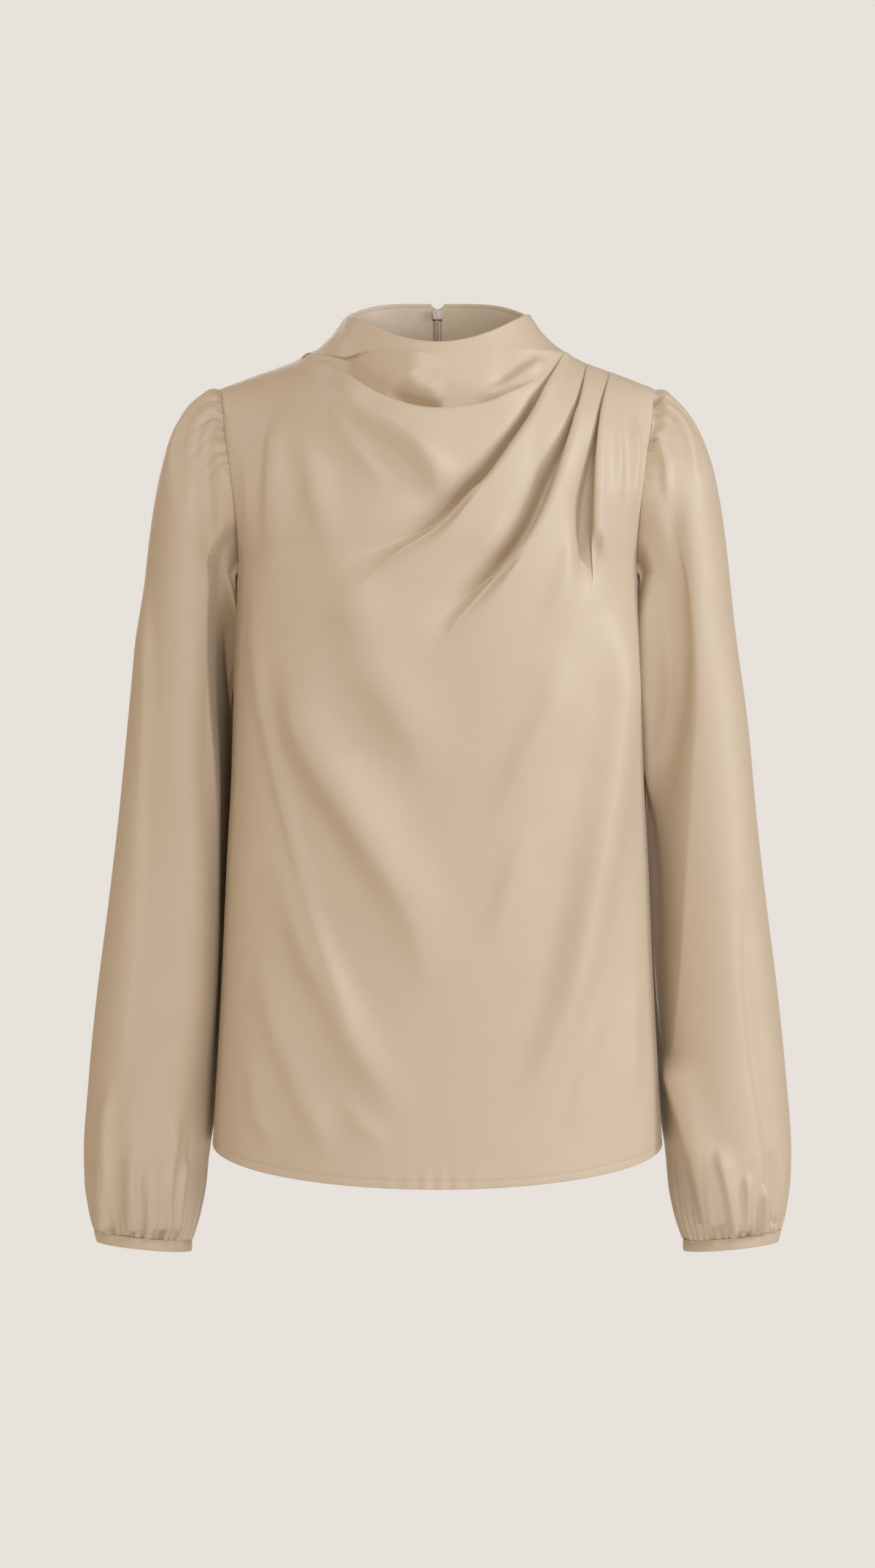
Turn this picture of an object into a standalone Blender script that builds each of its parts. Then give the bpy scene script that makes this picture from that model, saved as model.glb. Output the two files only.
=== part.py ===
"""A draped long-sleeved blouse with a cowl neck and three shoulder pleats, hollow and shaped as worn.

Tables and sizes are in millimetres, and the meshes in metres. +X is the wearer's left, -Y the front, +Z up.
The origin is where the wearer carries it: on the shoulder line, midway between the two neck bases.
Every panel is a sheet worked out from its rows and columns, and Solidify gives it its wall, inwards.
"""

import math

import bmesh
import bpy
import numpy as np

MM = 0.001

WALL = 1.2  # cloth thickness
CUFF_WALL = 1.6  # two layers of cloth
SEAM_HALF = 0.4  # each panel keeps this far from a seam line
ARMHOLE_GAP = 0.6  # sleeve to body, along the arm

# The body's side outline and how far the front and back stand from the side seam, by height.
TORSO_COLUMNS = ("height", "half_width", "front", "back")
TORSO = (
    (-665, 181, 127, 117),
    (-561, 175, 124, 112),
    (-485, 171, 122, 108),
    (-400, 167.4, 121, 105),
    (-325, 163.5, 123, 103),
    (-238, 161.5, 126, 106),
    (-180, 159, 124, 109),
    (-165, 158.8, 122, 108.5),
    (-140, 164, 119, 107.5),
    (-100, 176, 113, 104),
    (-60, 181, 107, 98),
    (-23, 185, 103, 92),
    (30, 188, 96, 84),
)

# The neck funnel above and behind the chest, by height.
NECK_COLUMNS = ("height", "front", "back")
NECK = (
    (-140, 0, 0),
    (-100, 45, 40),
    (-70, 68, 60),
    (-48, 79, 68),
    (-25, 87, 69),
    (2, 84, 66),
    (20, 82, 62),
    (50, 80, 60),
)

# The seam that joins front to back, from the collar's top edge to the shoulder point.
SIDE_LINE_COLUMNS = ("across", "height")
SIDE_LINE = (
    (74, 34),
    (77, 29.6),
    (80, 24.9),
    (83.3, 20.3),
    (87.6, 15.7),
    (92.5, 11),
    (98.5, 6.4),
    (107, 1.7),
    (116, -2.9),
    (128, -7.5),
    (141.5, -12.2),
    (154, -16.8),
    (167, -21.7),
    (172, -23.5),
)

# The armhole edge of the front and back panels, from the underarm to the shoulder point.
ARMHOLE_COLUMNS = ("height", "across")
ARMHOLE = (
    (-171, 158.4),
    (-150, 158.2),
    (-126, 159.8),
    (-90, 164.2),
    (-56, 169.3),
    (-35, 171.6),
    (-23.5, 172),
)

SIDE_ROUND = 2.35  # superellipse exponent of the body's level sections
SHOULDER_DROP = 110  # height over which the chest rounds up into the shoulder line
NECK_RISE = 0.12  # slope of the shoulder line carried on under the neck
SHOULDER_SLOPE = 0.36  # and past the shoulder point
NECK_FLARE = 0.35  # the funnel widens downwards under the shoulders
NECK_NARROWING = 0.15  # and narrows upwards at the back
BLEND_POWER = 6  # how tightly neck and chest merge
SIDE_SEAM_Y = 8  # the shoulder seam lies this far back, the side seam at 0

HEM_SIDE = -623
HEM_DROP_FRONT = 28
HEM_DROP_BACK = 24
HEM_ROUND = 1.9

COLLAR_FRONT = 5.6  # height of the collar edge at the centre front
COLLAR_BACK = 48.3  # and at the centre back
COLLAR_SIDE_X, COLLAR_SIDE_Z = SIDE_LINE[0]
NECK_BASE_X, NECK_BASE_Z = SIDE_LINE[7]
SHOULDER_X, SHOULDER_Z = SIDE_LINE[-1]

# The lower edge of the cowl, where the chest cloth rolls out over the collar, and its run to the sides.
COWL_COLUMNS = ("across", "height")
COWL = (
    (-172, -36),
    (-150, -27),
    (-128, -17.5),
    (-113, -9),
    (-105, -4),
    (-92.5, -7.7),
    (-70, -22.4),
    (-52, -34.3),
    (-30, -44.2),
    (-15, -47.9),
    (0, -49),
    (21, -46.7),
    (39, -43.5),
    (57.5, -34.1),
    (76, -22),
    (88, -9.5),
    (96, -1),
    (105, -5),
    (116, -11),
    (135, -20),
    (154, -28),
    (172, -36),
)
COWL_REACH = 96  # the roll dies out this far to each side
COWL_LIP = 3.5  # the chest cloth stands out by this
COWL_SINK = 6  # the collar dips behind it by this
COWL_LIP_WIDTH = 16
COWL_TROUGH_WIDTH = 15
COWL_FADE = 30

# The three pleats' edges: how far across each runs at each height, then on down the cloth to the hem.
PLEAT_COLUMNS = ("height", "across")
PLEATS = {
    "neck_pleat": (
        (-665, -30), (-450, -45), (-350, -62), (-260, -76), (-200, -72), (-163, -50), (-143, -15),
        (-128, 9), (-118, 19), (-107, 30), (-79, 50.4), (-46, 71.7), (-30, 79.4), (6.5, 98),
    ),
    "middle_pleat": (
        (-665, 25), (-450, 8), (-350, -8), (-260, -10), (-215, 5.6), (-197, 22.5), (-175, 45),
        (-151, 64), (-117, 79.7), (-80, 93), (-50, 103), (-2.5, 115.3),
    ),
    "outer_pleat": (
        (-665, 85), (-450, 90), (-300, 100), (-182, 112), (-124, 119.5), (-93, 120.5), (-52, 124.6),
        (-10, 135),
    ),
}
# Each pleat's edge stands out (lip) over a trough (sink), sharp down to crisp_to and gone by gone_at.
PLEAT_SHAPES = {
    "neck_pleat": {
        "lip": 3.5, "sink": 6.5, "lip_width": 22, "trough_width": 24, "crisp_to": -125, "gone_at": -195,
    },
    "middle_pleat": {
        "lip": 3.5, "sink": 6.0, "lip_width": 20, "trough_width": 20, "crisp_to": -150, "gone_at": -250,
    },
    "outer_pleat": {
        "lip": 2.5, "sink": 4.0, "lip_width": 16, "trough_width": 12, "crisp_to": -100, "gone_at": -215,
    },
}
PLEAT_BLUR = 14  # a fading edge rounds over this much wider
PLEAT_START = 22  # a pleat opens out over this distance from the seam it leaves
PLEAT_FLAT = 0.25  # and is this share of its full depth in the seam

# The body's largest soft folds: a line of (across, height) points, its half width, and how far it stands out.
BODY_FOLD_COLUMNS = ("side", "points", "half_width", "height_out")
BODY_FOLDS = (
    ("front", ((-72, -52), (-36, -80), (-8, -100), (0, -116)), 11, -4.5),
    ("front", ((-24, -58), (-8, -76), (4, -92)), 12, 3),
    ("front", ((-132, -45), (-137, -100), (-139, -160)), 10, -3.5),
    ("front", ((-92, -50), (-76, -80), (-60, -118)), 13, -3),
    ("front", ((-112, -214), (-90, -272), (-56, -334), (-22, -402)), 20, 4.5),
    ("front", ((-124, -262), (-88, -318), (-58, -366), (-22, -436)), 15, -3.5),
    ("front", ((-140, -180), (-124, -340), (-106, -420), (-80, -510)), 13, 3.5),
    ("front", ((-118, -440), (-84, -488), (-60, -540), (-26, -600)), 15, -3),
    ("front", ((150, -125), (143, -230), (128, -330), (104, -450), (76, -560)), 16, -4),
    ("back", ((-70, -120), (-82, -260), (-84, -420)), 26, -4),
    ("back", ((64, -110), (80, -280), (86, -470)), 28, -4),
    ("back", ((-28, -250), (-36, -420), (-40, -600)), 24, 4),
    ("back", ((34, -300), (38, -450), (44, -620)), 22, 3.5),
)

FOLD_ENDS = 0.3  # a soft fold fades over this share of its length at each end
FOLD_EDGE = 14  # and over this distance from a seam
CREASE_EDGE = 10  # a sharp edge fades over this distance from the armhole
TOP_FADE = 9  # and over this from the shoulder seam, down to TOP_SHARE of its height
TOP_SHARE = 0.15

# Rings of a sleeve, from the armhole to the cuff: its outer and inner edge, and half depths about middle_y.
SLEEVE_COLUMNS = ("outer_x", "outer_z", "inner_x", "inner_z", "middle_y", "front", "back", "own_shape")
SLEEVE = (
    (172, -23.5, 158.4, -171, 4, 48, 46, 0),
    (180, -23.5, 161.5, -175, 5, 51, 48, 0.15),
    (190, -31, 163.5, -180, 6, 54, 50, 0.35),
    (200, -42, 164.5, -187, 8, 57, 52, 0.55),
    (212, -64, 165, -198, 10, 60, 54, 0.8),
    (221, -92, 165, -212, 12, 62, 55, 1),
    (228.5, -135, 165.5, -236, 14, 62, 56, 1),
    (236, -203, 166, -272, 16, 62, 57, 1),
    (243.5, -275, 166.5, -318, 18, 62, 57, 1),
    (252, -356, 169, -374, 18, 62, 58, 1),
    (262, -435, 172.5, -440, 17, 63, 59, 1),
    (271, -504, 176, -506, 16, 65, 60, 1),
    (278, -574, 180, -574, 14, 67, 61, 1),
    (281.8, -630, 182, -628, 12, 67, 60, 1),
    (281, -655, 184, -655, 10, 62, 57, 1),
    (277, -679, 189, -680, 8, 50, 47, 1),
    (272.5, -693.5, 196.6, -701.5, 7, 35, 35, 1),
)
# Behind the body's side the sleeve's inner back rolls in, so that no gap shows between them.
TUCK_COLUMNS = ("height", "inwards")
TUCK = ((-640, 0), (-600, 5), (-560, 7), (-300, 7.5), (-240, 8), (-205, 8), (-190, 5), (-178, 0))
TUCK_Y = 38
TUCK_WIDTH = 20
TUCK_FROM = 0.67  # the share of the way to the inner edge where it is whole
SLEEVE_ROUND = 2.15
# The hollow down each sleeve's inner front, by height: where its front edge lies, from 1 at the sleeve's
# outer side to -1 at the inner, and its depth.
HOLLOW_COLUMNS = ("height", "right_edge", "right_depth", "left_edge", "left_depth")
HOLLOW = (
    (-700, -1, 0, -1, 0),
    (-578, -0.98, 0, -0.98, 0),
    (-542, -0.97, 3, -0.83, 8),
    (-476, -0.95, 8, -0.59, 18),
    (-419, -0.86, 14, -0.42, 24),
    (-325, -0.6, 22, -0.07, 30),
    (-272, -0.47, 22, 0.12, 28),
    (-228, -0.41, 18, 0.1, 18),
    (-190, -0.4, 6, 0.05, 5),
    (-160, -0.4, 0, 0, 0),
)

CUFF_HEIGHT = 9.4
CUFF_TILT = 0.1  # the cuff's inner side hangs lower by this share of its width
CUFF_TOP_GROW = 0.8  # the cuff's upper edge stands out round the sleeve's end
CUFF_BOTTOM_GROW = -0.4

# Invisible zip down the centre back
NOTCH_BOTTOM = 44
NOTCH_TOP_HALF = 5
CHANNEL_HALF = 1.1  # the slider's bridge comes out through a channel this far to each side
TAPE_WIDTH = 11
TAPE_WALL = 1.0
COIL_RADIUS = 1.0
COIL_OFFSET = 1.2
CLEAR = 0.4
SLIDER_OUTLINE = ((3.3, 36.2), (4.35, 42.3), (2.15, 45.5))  # half width and height at each corner
SLIDER_DEPTH = 4.0
SLIDER_CLEAR = 0.6  # from the cloth in front of it
BRIDGE_WIDTH = 1.2
BRIDGE_RING = 1.1
EYE_HALF = 1.2
PULL_AXIS_Z = 41.0
PULL_AXIS_OUT = 3.4
PULL_BAR = 0.55
PULL_SLOT_HALF = 1.3
PULL_SLOT_END = 4.2
PULL_THICKNESS = 1.1
PULL_STEPS = 17
PULL_COLUMNS = ("down", "half_width")
PULL_OUTLINE = (
    (-0.55, 2.3), (0.5, 2.5), (4.5, 2.5), (7.5, 1.9), (12, 2.3), (17, 3.1), (20, 2.9), (21.6, 1.9), (22, 0.8),
)

SLEEVE_SIDES = 20
COLUMN_COUNTS = (6, 9, 3, 5, 5, 7)  # from the wearer's right side to the left, between the lines below
COLLAR_LINES = {"right_collar": 0.30, "left_collar": 0.88}  # shares of the way to the neck pleat
BACK_COLUMN_COUNTS = (4, 6)  # from the zip tape to the collar's corner, and on to the side
BACK_COLLAR_SHARE = 0.42
# Rows of the panels as shares of the way up: hem to cowl edge (or to under the shoulder), and on to the top.
# 0.767 is the height of the underarm.
FRONT_ROWS = (
    0, 0.10, 0.20, 0.30, 0.40, 0.49, 0.57, 0.64, 0.70, 0.745, 0.767,
    0.785, 0.81, 0.84, 0.87, 0.90, 0.93, 0.955, 0.98, 1,
)
BACK_ROWS = (0, 0.14, 0.28, 0.42, 0.54, 0.65, 0.72, 0.752, 0.775, 0.81, 0.86, 0.91, 0.96, 1)
BACK_ROWS_ABOVE = (0.36, 0.7385, 0.93, 1)
YOKE_DROP = 14
ROWS_ABOVE_COWL = 6
ZIP_ROWS = slice(8, 16)  # the rows of the back that the zip is sewn to
START_HEIGHT = -100.0  # the search for where columns meet rows starts here
CREASE_HALF = 1.0  # a sharp edge turns over twice this width

CLOTH_COLOUR = (0.62, 0.49, 0.36, 1)
TAPE_COLOUR = (0.58, 0.48, 0.37, 1)
COIL_COLOUR = (0.66, 0.56, 0.45, 1)
ENAMEL_COLOUR = (0.66, 0.56, 0.46, 1)


def smooth(knots, values, at):
    """Reads a table between its rows with a curve that never overshoots (monotone cubic)."""
    x = np.asarray(knots, float)
    y = np.asarray(values, float)
    step = np.diff(x)
    slope = np.diff(y) / step
    tangent = np.zeros_like(y)
    tangent[0], tangent[-1] = slope[0], slope[-1]
    for i in range(1, len(x) - 1):
        if slope[i - 1] * slope[i] > 0:
            near = 2 * step[i] + step[i - 1]
            far = step[i] + 2 * step[i - 1]
            tangent[i] = (near + far) / (near / slope[i - 1] + far / slope[i])
    at = np.clip(at, x[0], x[-1])
    i = np.clip(np.searchsorted(x, at) - 1, 0, len(step) - 1)
    t = (at - x[i]) / step[i]
    rise = t * t * (3 - 2 * t)
    lead = t * (1 - t) ** 2 * step[i] * tangent[i]
    trail = t * t * (t - 1) * step[i] * tangent[i + 1]
    return y[i] * (1 - rise) + y[i + 1] * rise + lead + trail


def column(table, names, key, value, at):
    """Looks up one named column of a table by another."""
    knots = [row[names.index(key)] for row in table]
    values = [row[names.index(value)] for row in table]
    return smooth(knots, values, at)


def ease(t):
    """0 to 1 with a soft start and end."""
    t = np.clip(t, 0, 1)
    return t * t * (3 - 2 * t)


def round_side(share, power):
    """Superellipse: 1 in the middle, 0 at a share of 1."""
    share = np.clip(np.abs(share), 0, 1)
    return (1 - share**power) ** (1 / power)


# The body's base form


def torso(name, z):
    return column(TORSO, TORSO_COLUMNS, "height", name, z)


def seam_height(x):
    """Height of the shoulder and collar seam over a place across."""
    return column(SIDE_LINE, SIDE_LINE_COLUMNS, "across", "height", np.abs(x))


def shoulder_height(x):
    """Height of the shoulder line, carried on under the neck and past the shoulder point."""
    across = np.abs(x)
    under_neck = NECK_BASE_Z + NECK_RISE * (NECK_BASE_X - across)
    past_shoulder = SHOULDER_Z - SHOULDER_SLOPE * (across - SHOULDER_X)
    line = np.where(across > SHOULDER_X, past_shoulder, seam_height(across))
    return np.where(across < NECK_BASE_X, under_neck, line)


def neck_half_width(z):
    """Half width of the neck funnel, which flares on under the shoulders."""
    widths = np.linspace(NECK_BASE_X, COLLAR_SIDE_X, 200)
    heights = seam_height(widths)
    flare = NECK_FLARE * np.clip(NECK_BASE_Z - z, 0, None)
    narrowing = NECK_NARROWING * np.clip(z - COLLAR_SIDE_Z, 0, None)
    return np.interp(z, heights, widths) + flare - narrowing


def seam_y(z):
    """The seam between front and back moves from the shoulder's seam to the side seam."""
    return SIDE_SEAM_Y * ease((z + 170) / 130)


def reach(side, x, z):
    """How far the front or back stands out from the seam at a place across and a height."""
    rounding = 1 - np.clip((shoulder_height(x) - z) / SHOULDER_DROP, 0, 1)
    chest = torso(side, z) * round_side(x / torso("half_width", z), SIDE_ROUND) * round_side(rounding, 2)
    neck = column(NECK, NECK_COLUMNS, "height", side, z) * round_side(x / neck_half_width(z), 2.2)
    return (chest**BLEND_POWER + neck**BLEND_POWER) ** (1 / BLEND_POWER)


def surface_y(side, x, z):
    sign = -1 if side == "front" else 1
    return seam_y(z) + sign * (reach(side, x, z) + SEAM_HALF)


def outward(side, x, z):
    """Unit normals of the base form, away from the wearer."""
    step = 1.0
    sign = -1 if side == "front" else 1
    across = (surface_y(side, x + step, z) - surface_y(side, x - step, z)) / (2 * step)
    up = (surface_y(side, x, z + step) - surface_y(side, x, z - step)) / (2 * step)
    normal = np.stack([-sign * across, np.full_like(across, sign), -sign * up], axis=-1)
    return normal / np.linalg.norm(normal, axis=-1, keepdims=True)


def half_width(z):
    """The panels' edge: the side seam, then the armhole, then the shoulder and collar seam."""
    armhole = column(ARMHOLE, ARMHOLE_COLUMNS, "height", "across", z)
    return np.where(z < ARMHOLE[0][0], torso("half_width", z), armhole)


def hem_height(side, x):
    drop = HEM_DROP_FRONT if side == "front" else HEM_DROP_BACK
    return HEM_SIDE - drop * round_side(x / torso("half_width", np.full_like(x, HEM_SIDE)), HEM_ROUND)


def top_height(side, x):
    """The panel's upper edge: shoulder seam, collar seam and collar edge."""
    share = np.clip(np.abs(x) / COLLAR_SIDE_X, 0, 1)
    if side == "front":
        edge = COLLAR_FRONT + (COLLAR_SIDE_Z - COLLAR_FRONT) * share**2
    else:
        edge = COLLAR_BACK - (COLLAR_BACK - COLLAR_SIDE_Z) * share**4
    return np.where(np.abs(x) < COLLAR_SIDE_X, edge, seam_height(x))


# Folds


def cowl_height(x):
    return column(COWL, COWL_COLUMNS, "across", "height", x)


def pleat_across(name, z):
    return column(PLEATS[name], PLEAT_COLUMNS, "height", "across", z)


def rolled_edge(distance, lip, sink, lip_width, trough_width, blur):
    """A fold's edge in section: cloth standing out on one side, and a trough beside it."""
    side = ease(0.5 + distance / (2 * blur))
    out = lip * np.exp(-np.clip(distance, 0, None) / lip_width)
    down = sink * np.exp(-np.clip(-distance, 0, None) / trough_width)
    return side * out - (1 - side) * down


def cowl_roll(x, z):
    step = 1.0
    slope = (cowl_height(x + step) - cowl_height(x - step)) / (2 * step)
    distance = (cowl_height(x) - z) / np.sqrt(1 + slope**2)
    strength = ease((COWL_REACH - np.abs(x)) / COWL_FADE)
    widths = COWL_LIP_WIDTH, COWL_TROUGH_WIDTH
    return strength * rolled_edge(distance, COWL_LIP, COWL_SINK, *widths, CREASE_HALF)


def pleat_edge(name, x, z):
    shape = PLEAT_SHAPES[name]
    step = 1.0
    slope = (pleat_across(name, z + step) - pleat_across(name, z - step)) / (2 * step)
    distance = (x - pleat_across(name, z)) / np.sqrt(1 + slope**2)
    fading = ease((shape["crisp_to"] - z) / (shape["crisp_to"] - shape["gone_at"]))
    start = ease((top_height("front", x) - z) / PLEAT_START)
    strength = (1 - fading) * (PLEAT_FLAT + (1 - PLEAT_FLAT) * start)
    blur = CREASE_HALF + PLEAT_BLUR * fading
    widths = shape["lip_width"], shape["trough_width"]
    return strength * rolled_edge(distance, shape["lip"], shape["sink"], *widths, blur)


def soft_fold(points, half_width_, height_out, x, z):
    """A soft ridge (or a trough, when height_out is negative) along a line of points, fading at both ends."""
    px = np.array([p[0] for p in points], float)
    pz = np.array([p[1] for p in points], float)
    along = np.concatenate([[0], np.cumsum(np.hypot(np.diff(px), np.diff(pz)))])
    fine = np.linspace(0, along[-1], 24)
    fx, fz = smooth(along, px, fine), smooth(along, pz, fine)
    nearest = np.full(x.shape, 1e9)
    place = np.zeros(x.shape)
    for i in range(len(fine) - 1):
        dx, dz = fx[i + 1] - fx[i], fz[i + 1] - fz[i]
        t = np.clip(((x - fx[i]) * dx + (z - fz[i]) * dz) / (dx * dx + dz * dz), 0, 1)
        distance = np.hypot(x - fx[i] - t * dx, z - fz[i] - t * dz)
        closer = distance < nearest
        nearest = np.where(closer, distance, nearest)
        place = np.where(closer, (i + t) / (len(fine) - 1), place)
    ends = ease(place / FOLD_ENDS) * ease((1 - place) / FOLD_ENDS)
    return height_out * ends * np.exp(-((nearest / half_width_) ** 2))


def panel_points(side, x, z, inward=0.0):
    """Places the panel's points on the base form and moves them out by its folds, or in behind them."""
    lift = np.zeros_like(x)
    for row in BODY_FOLDS:
        fold = dict(zip(BODY_FOLD_COLUMNS, row))
        if fold["side"] == side:
            lift = lift + soft_fold(fold["points"], fold["half_width"], fold["height_out"], x, z)
    from_side = np.clip(half_width(z) - np.abs(x), 0, None)
    from_top = np.where(np.abs(x) < COLLAR_SIDE_X, np.inf, np.clip(top_height(side, x) - z, 0, None))
    lift = lift * ease(from_side / FOLD_EDGE) * ease(from_top / FOLD_EDGE)
    if side == "front":
        sharp = cowl_roll(x, z) + sum(pleat_edge(name, x, z) for name in PLEATS)
        lift = lift + sharp * ease(from_side / CREASE_EDGE) * ease(TOP_SHARE + from_top / TOP_FADE)
    base = np.stack([x, surface_y(side, x, z), z], axis=-1)
    return base + outward(side, x, z) * (lift - inward)[..., None]


# Grids of the panels


def top_edge_between(side, start, end, shares):
    """Points on the upper edge between two places across, at shares of its length."""
    x = np.linspace(start, end, 400)
    z = top_height(side, x)
    along = np.concatenate([[0], np.cumsum(np.hypot(np.diff(x), np.diff(z)))])
    px = np.interp(shares * along[-1], along, x)
    return px, top_height(side, px)


def settle(across, rise, start):
    """Finds where each column, a place across for a height, meets a row, a height for a place across."""
    x = start
    for _ in range(30):
        z = rise(x)
        x = 0.5 * x + 0.5 * across(z)
    return x, rise(x)


def front_columns():
    """Each column as (left line, right line, share between them, nudge off a pleat's edge)."""
    lines = ["right_side", *COLLAR_LINES, *PLEATS, "left_side"]
    columns = []
    for interval, count in enumerate(COLUMN_COUNTS):
        left, right = lines[interval], lines[interval + 1]
        shares = np.linspace(0, 1, count + 1)
        if left == "right_side":
            shares = shares**1.4
        if right == "left_side":
            shares = 1 - (1 - shares) ** 1.4
        for share in shares:
            if share == 0 and left in COLLAR_LINES:
                continue
            nudge = 0
            if share == 0 and left in PLEATS:
                nudge = CREASE_HALF
            if share == 1 and right in PLEATS:
                nudge = -CREASE_HALF
            columns.append((left, right, share, nudge))
    return columns


def line_across(name, z):
    if name == "right_side":
        return -half_width(z)
    if name == "left_side":
        return half_width(z)
    if name in COLLAR_LINES:
        share = COLLAR_LINES[name]
        return -half_width(z) * (1 - share) + pleat_across("neck_pleat", z) * share
    return pleat_across(name, z)


def top_of(name):
    """Where a column line meets the upper edge."""
    corners = {
        "right_side": -SHOULDER_X,
        "right_collar": -COLLAR_SIDE_X,
        "left_collar": COLLAR_SIDE_X,
        "left_side": SHOULDER_X,
    }
    return corners[name] if name in corners else PLEATS[name][-1][1]


def front_grid():
    """Rows of points (across, height): from the hem to the cowl's edge, then on to the upper edge."""
    below = np.array(FRONT_ROWS)
    above = 1 - (1 - np.linspace(0, 1, ROWS_ABOVE_COWL + 1)) ** 1.5
    xs, zs = [], []
    for left, right, share, nudge in front_columns():

        def across(z):
            return line_across(left, z) * (1 - share) + line_across(right, z) * share + nudge

        def rise(x):
            return hem_height("front", x) * (1 - below) + (cowl_height(x) - CREASE_HALF) * below

        x, z = settle(across, rise, np.zeros(len(below)) + across(START_HEIGHT))
        end_x, end_z = top_edge_between("front", top_of(left), top_of(right), share)
        start_z = cowl_height(x[-1]) + CREASE_HALF
        xs.append(np.concatenate([x, x[-1] + (end_x - x[-1]) * above]))
        zs.append(np.concatenate([z, start_z + (end_z - start_z) * above]))
    return np.array(xs).T, np.array(zs).T


def centre_back_gap(z):
    """Half the opening at the centre back: a seam, a channel for the slider, and a notch at the top."""
    channel = SEAM_HALF + (CHANNEL_HALF - SEAM_HALF) * ease((z - 24) / 8)
    return channel + (NOTCH_TOP_HALF - CHANNEL_HALF) * np.clip((z - NOTCH_BOTTOM) / 4, 0, 1)


def back_columns():
    """Each column as (least distance from the centre, share to the side, place on the upper edge)."""
    columns = [(0, 0, (NOTCH_TOP_HALF, TAPE_WIDTH, 0)), (TAPE_WIDTH / 2, 0, (TAPE_WIDTH / 2, TAPE_WIDTH, 0))]
    collar, side = BACK_COLUMN_COUNTS
    for share in np.linspace(0, 1, collar + 1):
        columns.append((TAPE_WIDTH, share * BACK_COLLAR_SHARE, (TAPE_WIDTH, COLLAR_SIDE_X, share)))
    for share in 1 - (1 - np.linspace(0, 1, side + 1)[1:]) ** 1.4:
        place = BACK_COLLAR_SHARE + (1 - BACK_COLLAR_SHARE) * share
        columns.append((TAPE_WIDTH, place, (COLLAR_SIDE_X, SHOULDER_X, share)))
    return columns


def back_grid():
    """Rows of points on the wearer's left half: from the hem to under the shoulder, then to the upper edge.
    The first columns keep to the zip tape's edges.
    """
    below = np.array(BACK_ROWS)
    above = np.array(BACK_ROWS_ABOVE)
    xs, zs = [], []
    for inset, share, (top_start, top_end, top_share) in back_columns():

        def across(z):
            start = np.maximum(centre_back_gap(z), inset)
            return start * (1 - share) + half_width(z) * share

        def rise(x):
            yoke = shoulder_height(x) - YOKE_DROP
            return hem_height("back", x) * (1 - below) + yoke * below

        x, z = settle(across, rise, np.zeros(len(below)) + across(START_HEIGHT))
        end_x, end_z = top_edge_between("back", top_start, top_end, top_share)
        up_z = z[-1] + (end_z - z[-1]) * above
        up_x = centre_back_gap(up_z) if inset == 0 else x[-1] + (end_x - x[-1]) * above
        xs.append(np.concatenate([x, up_x]))
        zs.append(np.concatenate([z, up_z]))
    return np.array(xs).T, np.array(zs).T


# Sleeves


def armhole_loop(count):
    """Points round the armhole, from the shoulder point down the front, under the arm and up the back."""
    top, bottom = ARMHOLE[-1][0], ARMHOLE[0][0]
    heights = top - (top - bottom) * (1 - np.cos(np.linspace(0, math.pi, 121))) / 2
    x = column(ARMHOLE, ARMHOLE_COLUMNS, "height", "across", heights)
    front = np.stack([x, surface_y("front", x, heights), heights], axis=-1)
    back = np.stack([x, surface_y("back", x, heights), heights], axis=-1)
    loop = np.concatenate([front, back[::-1][1:]])
    along = np.concatenate([[0], np.cumsum(np.linalg.norm(np.diff(loop, axis=0), axis=1))])
    at = np.arange(count) / count * along[-1]
    return np.stack([np.interp(at, along, loop[:, i]) for i in range(3)], axis=-1)


def ring_frame(row):
    """The middle of a sleeve ring, the vector from there to its outer edge, and the way along the sleeve."""
    outer = np.array([row["outer_x"], row["middle_y"], row["outer_z"]])
    inner = np.array([row["inner_x"], row["middle_y"], row["inner_z"]])
    arm = (outer - inner) / 2
    away = np.array([arm[2], 0, -arm[0]]) / np.linalg.norm(arm)
    return (outer + inner) / 2, arm, away


def sleeve_rings(wearer_side):
    """The rings of a sleeve, each a loop of points, as on the wearer's left."""
    turn = np.arange(SLEEVE_SIDES) / SLEEVE_SIDES * 2 * math.pi
    across = np.sign(np.cos(turn)) * np.abs(np.cos(turn)) ** (2 / SLEEVE_ROUND)
    depth = np.sign(np.sin(turn)) * np.abs(np.sin(turn)) ** (2 / SLEEVE_ROUND)
    first = dict(zip(SLEEVE_COLUMNS, SLEEVE[0]))
    middle, arm, away = ring_frame(first)
    loop = armhole_loop(SLEEVE_SIDES) - middle
    loop_across = loop @ arm / (arm @ arm)
    loop_away = loop @ away + ARMHOLE_GAP
    loop_depth = -loop[:, 1] / np.where(loop[:, 1] < 0, first["front"], first["back"])
    rings = []
    for values in SLEEVE:
        row = dict(zip(SLEEVE_COLUMNS, values))
        own = row["own_shape"]
        middle, arm, away = ring_frame(row)
        p = loop_across * (1 - own) + across * own
        q = loop_depth * (1 - own) + depth * own
        ring = middle + p[:, None] * arm + (loop_away * (1 - own))[:, None] * away
        ring[:, 1] -= q * np.where(q > 0, row["front"], row["back"])
        ring[:, 1] += hollow_push(wearer_side, ring[:, 2], p, q)
        inwards = column(TUCK, TUCK_COLUMNS, "height", "inwards", ring[:, 2]) * ease(-p / TUCK_FROM)
        ring[:, 0] -= inwards * np.exp(-(((ring[:, 1] - TUCK_Y) / TUCK_WIDTH) ** 2))
        rings.append(ring)
    return rings


def hollow_push(wearer_side, z, p, q):
    """How far the hollow down the sleeve's inner front lies back."""
    edge = column(HOLLOW, HOLLOW_COLUMNS, "height", wearer_side + "_edge", z)
    depth = column(HOLLOW, HOLLOW_COLUMNS, "height", wearer_side + "_depth", z)
    share = np.clip((edge - p) / (edge + 1.0001), 0, 1)
    return np.where(q > 0, depth * np.sin(math.pi * share**0.8) ** 2, 0)


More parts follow.
